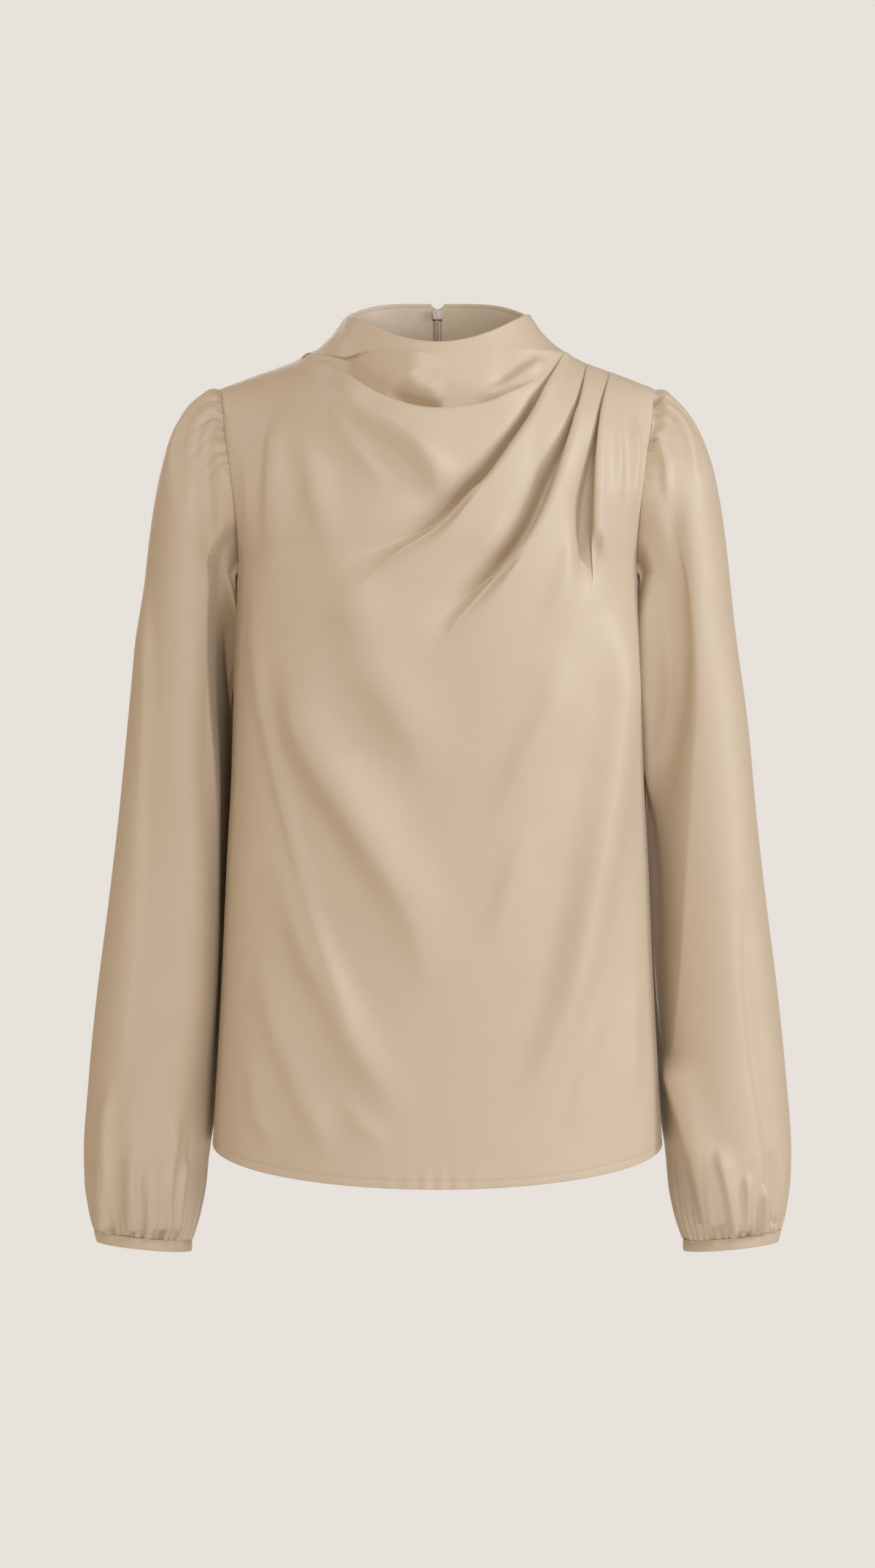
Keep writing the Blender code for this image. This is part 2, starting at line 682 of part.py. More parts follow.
def cuff_rings():
    """The cuff's upper and lower edge, under the sleeve's last ring."""
    row = dict(zip(SLEEVE_COLUMNS, SLEEVE[-1]))
    turn = np.arange(SLEEVE_SIDES) / SLEEVE_SIDES * 2 * math.pi
    rings = []
    for drop, grow in ((SEAM_HALF, CUFF_TOP_GROW), (SEAM_HALF + CUFF_HEIGHT, CUFF_BOTTOM_GROW)):
        half_x = (row["outer_x"] - row["inner_x"]) / 2 + grow
        x = (row["outer_x"] + row["inner_x"]) / 2 + half_x * np.cos(turn)
        y = row["middle_y"] - (row["front"] + grow) * np.sin(turn)
        middle_z = (row["outer_z"] + row["inner_z"]) / 2
        z = middle_z - drop + half_x * np.cos(turn) * CUFF_TILT
        rings.append(np.stack([x - CUFF_TILT * drop, y, z], axis=-1))
    return rings


# Turning points into objects


def material(name, colour, roughness, metallic=0.0):
    made = bpy.data.materials.new(name)
    made.use_nodes = True
    shader = made.node_tree.nodes["Principled BSDF"]
    shader.inputs["Base Color"].default_value = colour
    shader.inputs["Roughness"].default_value = roughness
    shader.inputs["Metallic"].default_value = metallic
    made.diffuse_color = colour
    return made


def place_in(collection, made, finish):
    for other in list(made.users_collection):
        other.objects.unlink(made)
    collection.objects.link(made)
    made.data.materials.clear()
    made.data.materials.append(finish)
    return made


def sheet(name, points, finish, collection, wall, closed=False, mirrored=False):
    """A wall of cloth on rows of points; closed joins each row's ends into a ring."""
    points = np.asarray(points) * MM
    if mirrored:
        points = points * np.array([-1, 1, 1])
    rows, cols = points.shape[:2]
    mesh = bpy.data.meshes.new(name)
    faces = []
    for row in range(rows - 1):
        for col in range(cols if closed else cols - 1):
            beside = (col + 1) % cols
            face = (row * cols + col, row * cols + beside, (row + 1) * cols + beside, (row + 1) * cols + col)
            faces.append(face[::-1] if mirrored else face)
    mesh.from_pydata([tuple(p) for p in points.reshape(-1, 3)], [], faces)
    mesh.shade_smooth()
    made = bpy.data.objects.new(name, mesh)
    place_in(collection, made, finish)
    thick = made.modifiers.new("wall", "SOLIDIFY")
    thick.thickness = wall * MM
    thick.offset = -1
    thick.use_quality_normals = True
    return made


def flat_piece(name, outlines, half_thickness, finish, collection):
    """A flat piece in the XZ plane, as thick as asked; the outlines after the first are holes."""
    outline = bpy.data.curves.new(name, "CURVE")
    outline.dimensions = "2D"
    outline.fill_mode = "BOTH"
    outline.extrude = half_thickness * MM
    for points in outlines:
        spline = outline.splines.new("POLY")
        spline.points.add(len(points) - 1)
        spline.use_cyclic_u = True
        for target, (x, z) in zip(spline.points, points):
            target.co = (x * MM, z * MM, 0, 1)
    drawn = bpy.data.objects.new(name + "_outline", outline)
    bpy.context.scene.collection.objects.link(drawn)
    drawn.rotation_euler = (math.pi / 2, 0, 0)
    bpy.context.view_layer.update()
    mesh = bpy.data.meshes.new_from_object(drawn.evaluated_get(bpy.context.evaluated_depsgraph_get()))
    mesh.transform(drawn.matrix_world)
    bpy.data.objects.remove(drawn, do_unlink=True)
    shape = bmesh.new()
    shape.from_mesh(mesh)
    bmesh.ops.remove_doubles(shape, verts=shape.verts, dist=0.000001)
    bmesh.ops.recalc_face_normals(shape, faces=shape.faces)
    shape.to_mesh(mesh)
    shape.free()
    mesh.name = name
    return place_in(collection, bpy.data.objects.new(name, mesh), finish)


def box(name, low, high, finish, collection):
    bpy.ops.mesh.primitive_cube_add(size=1)
    made = bpy.context.object
    made.name = made.data.name = name
    for vertex in made.data.vertices:
        vertex.co = [MM * ((lo + hi) / 2 + c * (hi - lo)) for lo, hi, c in zip(low, high, vertex.co)]
    return place_in(collection, made, finish)


def combine(made, other, operation):
    change = made.modifiers.new(other.name, "BOOLEAN")
    change.operation = operation
    change.object = other
    other.hide_render = True
    other.display_type = "WIRE"


def zip_tape(name, x, z, cloth, collection):
    """Lies behind the first columns of a back panel."""
    return sheet(name, panel_points("back", x, z, WALL + CLEAR), cloth, collection, TAPE_WALL)


def zip_coil(name, x, z, finish, collection):
    """Runs down the tape's edge, behind it."""
    depth = WALL + CLEAR + TAPE_WALL + CLEAR + COIL_RADIUS
    points = panel_points("back", np.full_like(z, np.sign(x[-1]) * COIL_OFFSET), z, depth)
    wire = bpy.data.curves.new(name, "CURVE")
    wire.dimensions = "3D"
    wire.bevel_depth = COIL_RADIUS * MM
    wire.bevel_resolution = 2
    wire.use_fill_caps = True
    spline = wire.splines.new("POLY")
    spline.points.add(len(points) - 1)
    for target, point in zip(spline.points, points):
        target.co = (*(point * MM), 1)
    return place_in(collection, bpy.data.objects.new(name, wire), finish)


def zip_slider(finish, collection, cutters):
    """The slider's body inside, and a bridge with an eye that comes out between the back panels."""
    outer = float(surface_y("back", np.array(0.0), np.array(PULL_AXIS_Z)))
    outline = [(-half, z) for half, z in SLIDER_OUTLINE] + [(half, z) for half, z in reversed(SLIDER_OUTLINE)]
    body = flat_piece("zip_slider", [outline[::-1]], SLIDER_DEPTH / 2, finish, collection)
    body.location.y = (outer - WALL - SLIDER_CLEAR - SLIDER_DEPTH / 2) * MM
    eye_y = outer + PULL_AXIS_OUT
    reach_in = outer - WALL - SLIDER_CLEAR - SLIDER_DEPTH / 2
    half_x, half_z = BRIDGE_WIDTH / 2, EYE_HALF + BRIDGE_RING
    bridge = box(
        "bridge",
        (-half_x, reach_in, PULL_AXIS_Z - half_z),
        (half_x, eye_y + half_z, PULL_AXIS_Z + half_z),
        finish,
        cutters,
    )
    eye = box(
        "bridge_eye",
        (-2 * half_x, eye_y - EYE_HALF, PULL_AXIS_Z - EYE_HALF),
        (2 * half_x, eye_y + EYE_HALF, PULL_AXIS_Z + EYE_HALF),
        finish,
        cutters,
    )
    combine(body, bridge, "UNION")
    combine(body, eye, "DIFFERENCE")
    return body


def zip_pull(finish, collection):
    """The pull tab, hanging from the bridge's eye by the bar over its slot; its origin is on the bar."""
    outer = float(surface_y("back", np.array(0.0), np.array(PULL_AXIS_Z)))
    down = np.linspace(PULL_OUTLINE[0][0], PULL_OUTLINE[-1][0], PULL_STEPS)
    half = column(PULL_OUTLINE, PULL_COLUMNS, "down", "half_width", down)
    right = [(h, -z) for h, z in zip(half, down)]
    left = [(-h, -z) for h, z in zip(half, down)][::-1]
    slot = [(-PULL_SLOT_HALF, -PULL_BAR), (PULL_SLOT_HALF, -PULL_BAR)]
    slot += [(PULL_SLOT_HALF, -PULL_SLOT_END), (-PULL_SLOT_HALF, -PULL_SLOT_END)]
    made = flat_piece("zip_pull", [right + left, slot], PULL_THICKNESS / 2, finish, collection)
    made.location = (0, (outer + PULL_AXIS_OUT) * MM, PULL_AXIS_Z * MM)
    return made


def main():
    for old in list(bpy.data.objects):
        bpy.data.objects.remove(old, do_unlink=True)
    collection = bpy.data.collections.new("draped_blouse")
    cutters = bpy.data.collections.new("cutters")
    bpy.context.scene.collection.children.link(collection)
    bpy.context.scene.collection.children.link(cutters)
    cloth = material("crepe_satin", CLOTH_COLOUR, 0.6)
    tape_cloth = material("zip_tape", TAPE_COLOUR, 0.8)
    nylon = material("zip_coil", COIL_COLOUR, 0.45)
    enamel = material("zip_enamel", ENAMEL_COLOUR, 0.35)

    x, z = front_grid()
    sheet("front_panel", panel_points("front", x, z), cloth, collection, WALL)
    x, z = back_grid()
    for side, sign in (("left", 1), ("right", -1)):
        mirrored = side == "right"
        order = slice(None) if mirrored else slice(None, None, -1)
        back_x, back_z = sign * x[:, order], z[:, order]
        tape = slice(0, 3) if mirrored else slice(-3, None)
        edge = 0 if mirrored else -1
        zip_x, zip_z = back_x[ZIP_ROWS], back_z[ZIP_ROWS]
        sheet("back_" + side, panel_points("back", back_x, back_z), cloth, collection, WALL)
        zip_tape("zip_tape_" + side, zip_x[:, tape], zip_z[:, tape], tape_cloth, collection)
        zip_coil("zip_coil_" + side, zip_x[:, edge], zip_z[:, edge], nylon, collection)
        sheet("sleeve_" + side, sleeve_rings(side), cloth, collection, WALL, True, mirrored)
        sheet("cuff_" + side, cuff_rings(), cloth, collection, CUFF_WALL, True, mirrored)
    zip_slider(enamel, collection, cutters)
    zip_pull(enamel, collection)


main()
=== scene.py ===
"""The visible blouse: fine cloth, seams, stitches and zip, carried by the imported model's bodies.

Tables and sizes are in millimetres, and the meshes in metres. +X is the wearer's left, -Y the front, +Z up.
The cloth follows the same form as the model's solids, with its folds, rolled edges and gathers added.
"""

import math

import bmesh
import bpy
import numpy as np
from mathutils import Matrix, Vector


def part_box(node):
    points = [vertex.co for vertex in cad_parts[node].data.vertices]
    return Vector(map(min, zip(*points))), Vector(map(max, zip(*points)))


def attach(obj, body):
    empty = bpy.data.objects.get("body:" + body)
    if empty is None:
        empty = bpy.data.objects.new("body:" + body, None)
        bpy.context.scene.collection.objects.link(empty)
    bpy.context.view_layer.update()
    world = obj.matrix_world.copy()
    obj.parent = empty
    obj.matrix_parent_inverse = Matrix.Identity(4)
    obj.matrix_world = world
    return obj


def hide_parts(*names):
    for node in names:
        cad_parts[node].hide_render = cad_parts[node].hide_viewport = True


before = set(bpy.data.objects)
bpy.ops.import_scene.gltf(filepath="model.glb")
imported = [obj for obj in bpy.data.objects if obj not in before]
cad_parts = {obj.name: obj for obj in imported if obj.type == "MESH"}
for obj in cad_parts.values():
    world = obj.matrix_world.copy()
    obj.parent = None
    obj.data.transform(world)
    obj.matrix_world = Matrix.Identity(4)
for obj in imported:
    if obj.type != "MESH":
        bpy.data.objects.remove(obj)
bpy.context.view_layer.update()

MM = 0.001
BODY = "blouse"
PULL_BODY = "zip_pull"

WALL = 1.2
SEAM_HALF = 0.05
ARMHOLE_GAP = -0.5

# ---------------------------------------------------------------- the form, as in the solid model

TORSO_COLUMNS = ("height", "half_width", "front", "back")
TORSO = (
    (-665, 181, 127, 117),
    (-561, 175, 124, 112),
    (-485, 171, 122, 108),
    (-400, 167.4, 121, 105),
    (-325, 163.5, 123, 103),
    (-238, 161.5, 126, 106),
    (-180, 159, 124, 109),
    (-165, 158.8, 122, 108.5),
    (-140, 164, 119, 107.5),
    (-100, 176, 113, 104),
    (-60, 181, 107, 98),
    (-23, 185, 103, 92),
    (30, 188, 96, 84),
)

NECK_COLUMNS = ("height", "front", "back")
NECK = (
    (-140, 0, 0),
    (-100, 45, 40),
    (-70, 68, 60),
    (-48, 79, 68),
    (-25, 87, 69),
    (2, 84, 66),
    (20, 82, 62),
    (50, 80, 60),
)

SIDE_LINE_COLUMNS = ("across", "height")
SIDE_LINE = (
    (74, 34),
    (77, 29.6),
    (80, 24.9),
    (83.3, 20.3),
    (87.6, 15.7),
    (92.5, 11),
    (98.5, 6.4),
    (107, 1.7),
    (116, -2.9),
    (128, -7.5),
    (141.5, -12.2),
    (154, -16.8),
    (167, -21.7),
    (172, -23.5),
)

ARMHOLE_COLUMNS = ("height", "across")
ARMHOLE = (
    (-171, 158.4),
    (-150, 158.2),
    (-126, 159.8),
    (-90, 164.2),
    (-56, 169.3),
    (-35, 171.6),
    (-23.5, 172),
)

SIDE_ROUND = 2.35
SHOULDER_DROP = 110
NECK_RISE = 0.12
SHOULDER_SLOPE = 0.36
NECK_FLARE = 0.35
NECK_NARROWING = 0.15
BLEND_POWER = 6
SIDE_SEAM_Y = 8

HEM_SIDE = -623
HEM_DROP_FRONT = 28
HEM_DROP_BACK = 24
HEM_ROUND = 1.9

COLLAR_FRONT = 5.6
COLLAR_BACK = 48.3
COLLAR_SIDE_X, COLLAR_SIDE_Z = SIDE_LINE[0]
NECK_BASE_X, NECK_BASE_Z = SIDE_LINE[7]
SHOULDER_X, SHOULDER_Z = SIDE_LINE[-1]

COWL_COLUMNS = ("across", "height")
COWL = (
    (-172, -36),
    (-150, -27),
    (-128, -17.5),
    (-113, -9),
    (-105, -4),
    (-92.5, -7.7),
    (-70, -22.4),
    (-52, -34.3),
    (-30, -44.2),
    (-15, -47.9),
    (0, -49),
    (21, -46.7),
    (39, -43.5),
    (57.5, -34.1),
    (76, -22),
    (88, -9.5),
    (96, -1),
    (105, -5),
    (116, -11),
    (135, -20),
    (154, -28),
    (172, -36),
)
COWL_REACH = 106
COWL_SHORTER_LEFT = 28
COWL_LIP = 4.2
COWL_STEP = 6
COWL_TROUGH = 5
COWL_LIP_WIDTH = 16
COWL_TROUGH_WIDTH = 9
COWL_FADE = 30
COWL_OVERHANG = 2.2

PLEAT_COLUMNS = ("height", "across")
PLEATS = {
    "neck_pleat": (
        (-665, -30), (-450, -45), (-350, -62), (-260, -76), (-200, -66), (-163, -36), (-143, -3),
        (-128, 15), (-118, 25), (-107, 37.5), (-79, 58), (-46, 79), (-30, 86), (6.5, 102),
    ),
    "middle_pleat": (
        (-665, 25), (-450, 8), (-350, -8), (-260, -4), (-215, 13), (-197, 30), (-175, 52),
        (-151, 72), (-117, 89), (-80, 101.5), (-50, 110), (-2.5, 119),
    ),
    "outer_pleat": (
        (-665, 85), (-450, 92), (-300, 106), (-200, 117), (-175, 122), (-150, 124), (-124, 124), (-93, 124.5),
        (-52, 128), (-10, 137),
    ),
}
PLEAT_SHAPES = {
    "neck_pleat": {
        "lip": 5.5, "step": 16, "trough": 8, "lip_width": 22, "trough_width": 6.5,
        "crisp_to": -112, "gone_at": -196, "overhang": 4.4,
    },
    "middle_pleat": {
        "lip": 5.5, "step": 17, "trough": 8.5, "lip_width": 20, "trough_width": 6,
        "crisp_to": -160, "gone_at": -244, "overhang": 4.6,
    },
    "outer_pleat": {
        "lip": 5.0, "step": 16, "trough": 8, "lip_width": 15, "trough_width": 5,
        "crisp_to": -140, "gone_at": -204, "overhang": 4.2,
    },
}
PLEAT_BLUR = 24
PLEAT_START = 60
PLEAT_FLAT = 0.1
PLEAT_NARROW = 0.06
PLEAT_OPENS = 128
PLEAT_STEP_LEAST = 0.35
CREASE_HALF = 1.0
CREASE_EDGE = 10
TOP_FADE = 9
TOP_SHARE = 0.3

# Soft folds of the body. left_width and right_width are the half widths to the viewer's left and right;
# start_fade and end_fade are the shares of the length over which the fold rises and dies.
FOLD_COLUMNS = (
    "side", "points", "left_width", "right_width", "height_out", "start_fade", "end_fade",
)
BODY_FOLDS = (
    # chest, under the cowl
    ("front", ((-148, -70), (-149, -110), (-150, -160)), 6, 7, 1.6, 0.5, 0.5),
    ("front", ((-122, -34), (-126, -90), (-128, -125), (-132, -190)), 8, 11, 6, 0.3, 0.6),
    ("front", ((-112, -36), (-98, -100), (-91, -133), (-80, -185)), 8, 14, 4, 0.35, 0.6),
    ("front", ((-88, -30), (-74, -65), (-52, -92), (-36, -118)), 7, 8, 3.4, 0.35, 0.5),
    ("front", ((-88, -18), (-60, -50), (-33, -64), (-8, -85), (7, -118), (10, -135)), 13, 14, 9.5, 0.25, 0.4),
    ("front", ((139, -46), (140, -85), (140, -130)), 4, 5, 2.2, 0.4, 0.5),
    ("front", ((153, -46), (154, -88), (153, -140)), 5, 4, 4.5, 0.3, 0.4),
    ("front", ((54, -126), (40, -150), (22, -176)), 7, 9, 2, 0.5, 0.5),
    ("front", ((110, -126), (96, -186), (76, -240)), 8, 14, 3, 0.4, 0.5),
    # the bulge where the neck pleat runs out
    ("front", ((-72, -160), (-66, -205), (-54, -248)), 18, 26, 5.5, 0.5, 0.5),
    # long diagonals from the wearer's right side
    ("front", ((-80, -215), (-44, -265), (-26, -293), (4, -345)), 18, 26, 5, 0.4, 0.5),
    ("front", ((-112, -220), (-104, -290), (-84, -334), (-66, -362), (-44, -400), (-26, -430), (4, -520)),
     15, 26, 10, 0.25, 0.5),
    ("front", ((-148, -160), (-140, -257), (-128, -318), (-114, -374), (-95, -438), (-76, -494), (-58, -548)),
     6, 7, 2.1, 0.3, 0.25),
    ("front", ((-124, -380), (-98, -470), (-79, -507), (-67, -535), (-50, -562), (-14, -604)),
     13, 16, 5.6, 0.35, 0.4),
    ("front", ((-138, -460), (-124, -532), (-110, -565), (-98, -593), (-80, -634)), 10, 12, 3, 0.4, 0.2),
    ("front", ((-147, -540), (-141, -592), (-122, -626)), 7, 9, 1.8, 0.4, 0.3),
    ("front", ((-74, -580), (-57, -604), (-34, -620)), 7, 9, 1.4, 0.4, 0.4),
    # the wearer's left side
    ("front", ((99, -225), (87, -280), (68, -318), (54, -351), (34, -388)), 12, 18, 4, 0.35, 0.5),
    ("front", ((144, -180), (142, -262), (135, -320), (126, -376), (116, -433), (106, -485), (92, -534),
               (75, -574), (50, -614)), 14, 18, 9.5, 0.2, 0.35),
    ("front", ((74, -360), (54, -424), (36, -476)), 10, 16, 2.4, 0.5, 0.5),
    ("front", ((153, -484), (153, -540), (152, -596)), 5, 6, 2, 0.4, 0.4),
    ("front", ((130, -480), (113, -566), (104, -618)), 7, 9, 2.4, 0.4, 0.3),
    # collar
    ("collar", ((-15, 2), (-17, -10), (-12, -24)), 22, 13, 3.5, 0.2, 0.3),
    ("collar", ((-32, -18), (-13, -27), (6, -36)), 7, 7, 2.6, 0.3, 0.35),
    ("collar", ((-42, -31), (-20, -42), (2, -49)), 8, 6, -7, 0.3, 0.08),
    ("collar", ((86, -4), (54, -25), (28, -40)), 5, 5, 2.2, 0.15, 0.3),
    ("collar", ((84, 3), (60, -13), (34, -29)), 6, 6, -1.6, 0.2, 0.35),
    ("collar", ((-90, -1), (-60, -17), (-32, -33)), 12, 18, -5, 0.25, 0.35),
    # back
    ("back", ((-70, -120), (-82, -260), (-84, -420)), 26, 20, -5, 0.3, 0.3),
    ("back", ((64, -110), (80, -280), (86, -470)), 22, 28, -5, 0.3, 0.3),
    ("back", ((-28, -250), (-36, -420), (-40, -600)), 22, 24, 5, 0.3, 0.2),
    ("back", ((34, -300), (38, -450), (44, -620)), 22, 18, 4.5, 0.3, 0.2),
    ("back", ((-130, -60), (-134, -120), (-128, -190)), 8, 10, -4, 0.3, 0.4),
    ("back", ((132, -70), (136, -130), (126, -200)), 9, 8, -4, 0.3, 0.4),
    ("back", ((-120, -300), (-96, -400), (-90, -520)), 12, 14, 3.5, 0.3, 0.4),
    ("back", ((118, -260), (100, -380), (104, -540)), 14, 11, 3.5, 0.3, 0.4),
)
FOLD_EDGE = 14
FOLD_DEPTH = 1.42
FOLD_STEPS = 24

SLEEVE_COLUMNS = ("outer_x", "outer_z", "inner_x", "inner_z", "middle_y", "front", "back", "own_shape")
SLEEVE = (
    (172, -23.5, 158.4, -171, 4, 48, 46, 0),
    (180, -23.5, 161.5, -175, 5, 51, 48, 0.15),
    (190, -31, 163.5, -180, 6, 54, 50, 0.35),
    (200, -42, 164.5, -187, 8, 57, 52, 0.55),
    (212, -64, 165, -198, 10, 60, 54, 0.8),
    (221, -92, 165, -212, 12, 62, 55, 1),
    (228.5, -135, 165.5, -236, 14, 62, 56, 1),
    (236, -203, 166, -272, 16, 62, 57, 1),
    (243.5, -275, 166.5, -318, 18, 62, 57, 1),
    (252, -356, 169, -374, 18, 62, 58, 1),
    (262, -435, 172.5, -440, 17, 63, 59, 1),
    (271, -504, 176, -506, 16, 65, 60, 1),
    (278, -574, 180, -574, 14, 67, 61, 1),
    (281.8, -630, 182, -628, 12, 67, 60, 1),
    (281, -655, 184, -655, 10, 62, 57, 1),
    (277, -679, 189, -680, 8, 50, 47, 1),
    (272.5, -693.5, 196.6, -701.5, 7, 35, 35, 1),
)
TUCK_COLUMNS = ("height", "inwards")
TUCK = (
    (-640, 0), (-600, 5), (-560, 7), (-300, 7.5), (-240, 8), (-190, 8.5), (-178, 8), (-168, 3), (-160, 0),
)
TUCK_Y = 38
TUCK_WIDTH = 20
TUCK_FROM = 0.67
SLEEVE_ROUND = 2.15
# The hollow down each sleeve's inner front. Soft is 1 where its edge is sharp and 2 where it is rounded;
# keep is how much of the depth lasts to the inner side.
HOLLOW_COLUMNS = (
    "height", "right_edge", "right_depth", "right_soft", "right_keep",
    "left_edge", "left_depth", "left_soft", "left_keep",
)
HOLLOW = (
    (-700, -1, 0, 1, 1, -1, 0, 1, 1),
    (-578, -0.98, 0, 1, 1, -0.98, 0, 1, 1),
    (-542, -0.97, 8, 1, 1, -0.83, 10, 1, 1),
    (-476, -0.96, 26, 1, 1, -0.62, 20, 1.1, 1),
    (-419, -0.9, 44, 1, 1, -0.45, 26, 1.4, 1),
    (-325, -0.7, 60, 1, 0.6, -0.12, 20, 1.7, 0.5),
    (-272, -0.58, 62, 1, 0.35, 0.04, 15, 2, 0.1),
    (-228, -0.5, 54, 1, 0.2, 0.08, 11, 2, 0),
    (-190, -0.46, 28, 1.2, 0.1, 0.05, 9, 2, 0),
    (-160, -0.44, 11, 1.6, 0, 0, 4, 2, 0),
    (-125, -0.42, 3, 2, 0, -0.05, 1, 2, 0),
    (-90, -0.4, 0, 2, 0, -0.2, 0, 2, 0),
)
HOLLOW_PEAK = {"right": 0.36, "left": 0.5}
# How far forward the sleeve's inner side stands where the body presses on it, and how far in it reaches.
# From -150 to -330 the inner side reaches a few millimetres into the body.
PRESS_COLUMNS = ("height", "right", "left", "close")
PRESS = (
    (-660, 0, 0, 0),
    (-460, 0, 0, 0.6),
    (-400, 0, 0, 1.8),
    (-350, 1, 3, 4.5),
    (-300, 4, 8, 7),
    (-250, 7, 10, 9.5),
    (-225, 7, 10, 9.5),
    (-200, 6, 8, 7.5),
    (-187, 4, 5, 5),
    (-178, 3, 3, 2.5),
    (-171, 2, 2, 0),
    (-130, 1, 1, 0),
    (-60, 0, 0, 0),
)
# Soft folds of the sleeves, placed as on the wearer's left sleeve; outer is away from the body.
SLEEVE_FOLD_COLUMNS = (
    "wearer_side", "face", "points", "inner_width", "outer_width", "height_out", "start_fade", "end_fade",
)
SLEEVE_FOLDS = (
    # wearer's right, front
    ("right", "front", ((182, -50), (180, -110), (178, -150), (177, -190)), 7, 12, -6, 0.35, 0.3),
    ("right", "front", ((190, -66), (196, -117), (200, -214), (200, -310), (194, -387), (190, -455),
                        (193, -551), (200, -605)), 14, 18, 6, 0.15, 0.2),
    ("right", "front", ((231, -170), (229, -252), (234, -358), (238, -464), (246, -537), (256, -605)),
     5, 20, 4.5, 0.15, 0.2),
    ("right", "front", ((255, -566), (260, -630), (261, -692)), 4, 8, 7, 0.35, 0.05),
    ("right", "front", ((237, -612), (240, -660), (241, -692)), 4, 6, 5.5, 0.35, 0.05),
    ("right", "front", ((204, -592), (212, -645), (216, -692)), 5, 9, 8, 0.35, 0.05),
    ("right", "front", ((197, -630), (203, -665), (205, -692)), 4, 4, 4.5, 0.25, 0.05),
    ("right", "front", ((227, -636), (228, -692)), 4, 5, 4, 0.3, 0.05),
    ("right", "front", ((172, -28), (196, -42), (208, -66), (214, -104)), 5, 6, 3, 0.05, 0.4),
    ("right", "front", ((170, -38), (187, -48), (195, -72), (199, -100)), 4.5, 5, 4, 0.05, 0.5),
    ("right", "front", ((169, -46), (182, -62), (189, -90)), 4, 4.5, 3.4, 0.05, 0.5),
    # wearer's left, front
    ("left", "front", ((236, -200), (237, -330), (236, -430), (240, -502), (246, -567)), 24, 18, 4, 0.3, 0.3),
    ("left", "front", ((238, -400), (244, -500), (252, -568), (262, -630), (266, -682)), 6, 8, -4, 0.3, 0.1),
    ("left", "front", ((182, -90), (186, -140), (188, -190), (189, -235), (186, -285), (180, -330),
                       (175, -375)), 9, 10, -8, 0.3, 0.35),
    ("left", "front", ((184, -552), (197, -600), (207, -640), (217, -690)), 7, 12, 10, 0.15, 0.06),
    ("left", "front", ((220, -620), (230, -664), (235, -692)), 4, 7, 6.5, 0.3, 0.05),
    ("left", "front", ((242, -640), (245, -692)), 3, 5, 5, 0.3, 0.05),
    ("left", "front", ((257, -652), (257, -692)), 3, 4, 5, 0.3, 0.05),
    ("left", "front", ((267, -622), (268, -660), (265, -690)), 5, 4, -3.4, 0.3, 0.05),
    ("left", "front", ((174, -34), (191, -50), (201, -78), (205, -110)), 4, 5, 3.4, 0.05, 0.5),
    ("left", "front", ((171, -58), (179, -88), (182, -130)), 4, 5, 3, 0.1, 0.5),
    # backs
    ("right", "back", ((226, -200), (230, -330), (238, -470), (246, -600)), 13, 14, 4.2, 0.3, 0.3),
    ("right", "back", ((196, -260), (200, -400), (206, -560)), 12, 12, -6, 0.3, 0.3),
    ("right", "back", ((216, -520), (222, -600), (224, -680)), 9, 10, 4, 0.3, 0.1),
    ("left", "back", ((230, -220), (236, -380), (242, -500), (250, -600)), 12, 15, 4.2, 0.3, 0.3),
    ("left", "back", ((198, -240), (202, -380), (204, -540)), 12, 14, -6, 0.3, 0.3),
    ("left", "back", ((212, -540), (220, -610), (222, -684)), 9, 10, 4, 0.3, 0.1),
)

# Gathers spread round a sleeve's end: how many, between which turns (0 outer, 90 front), and their sizes.
GATHER_COLUMNS = ("at", "seed", "count", "from_turn", "to_turn", "width", "depth_low", "depth_high",
                  "reach_low", "reach_high", "flat_to")
GATHERS = (
    ("head", 3, 17, -85, 82, 2.0, 1.6, 3.4, 16, 60, 1.0),
    ("head", 9, 7, -70, 70, 3.6, 1.2, 2.8, 50, 120, 2.0),
    ("head", 12, 38, -95, 95, 1.7, 0.8, 1.8, 4, 12, 0.4),
    ("cuff", 5, 36, 0, 360, 1.5, 3.0, 6.0, 26, 90, 0.6),
    ("cuff", 8, 11, 0, 360, 3.2, 3.0, 6.5, 80, 200, 1.2),
)

# Each gather's place in its own share of the seam, and how its width, length and sharpness vary.
GATHER_PLACE_FROM = 0.15
GATHER_PLACE_SPREAD = 0.7
GATHER_WIDTHS = (0.7, 1.4)
GATHER_DRIFT = 0.1
GATHER_LENGTH_POWER = 1.3
GATHER_FADE_POWER = 1.6
GATHER_START = 0.3
GATHER_SPREAD_START = 0.7
GATHER_SPREAD_GROWTH = 1.6
GATHER_CUSP_START = 0.2
GATHER_CUSP_GROWTH = 0.8
RIGHT_SEED_SHIFT = 40
SLEEVE_ALLOWANCE = 3.5
# The sleeve's end inside the cuff: its size against the last ring, how far down, and how far on when flat.
SLEEVE_END = ((0.96, 1.4, 2), (0.95, 5.0, 5))

CUFF_SIDES = 220
CUFF_RADIUS = 36.5
CUFF_WAVE = 0.35
CUFF_WAVE_UP = 0.35
CUFF_HEIGHT = 9.4
CUFF_TILT = 0.1
CUFF_TOP_GROW = 0.8
CUFF_BOTTOM_GROW = -0.4
# The band in section: how far down, and how far out from its face.
CUFF_SECTION = (
    (0.5, -0.55), (0.12, -0.25), (0.0, 0.0), (0.25, 0.22), (0.8, 0.3), (1.3, 0.12), (1.7, 0.12), (2.2, 0.34),
    (4, 0.5), (6, 0.5), (8, 0.4), (8.9, 0.25), (9.3, -0.05), (9.4, -0.5), (9.25, -1.1), (8.7, -1.5),
    (6, -1.6), (3, -1.6), (1.2, -1.6), (0.6, -1.3),
)
CUFF_STITCH_ROW = 5

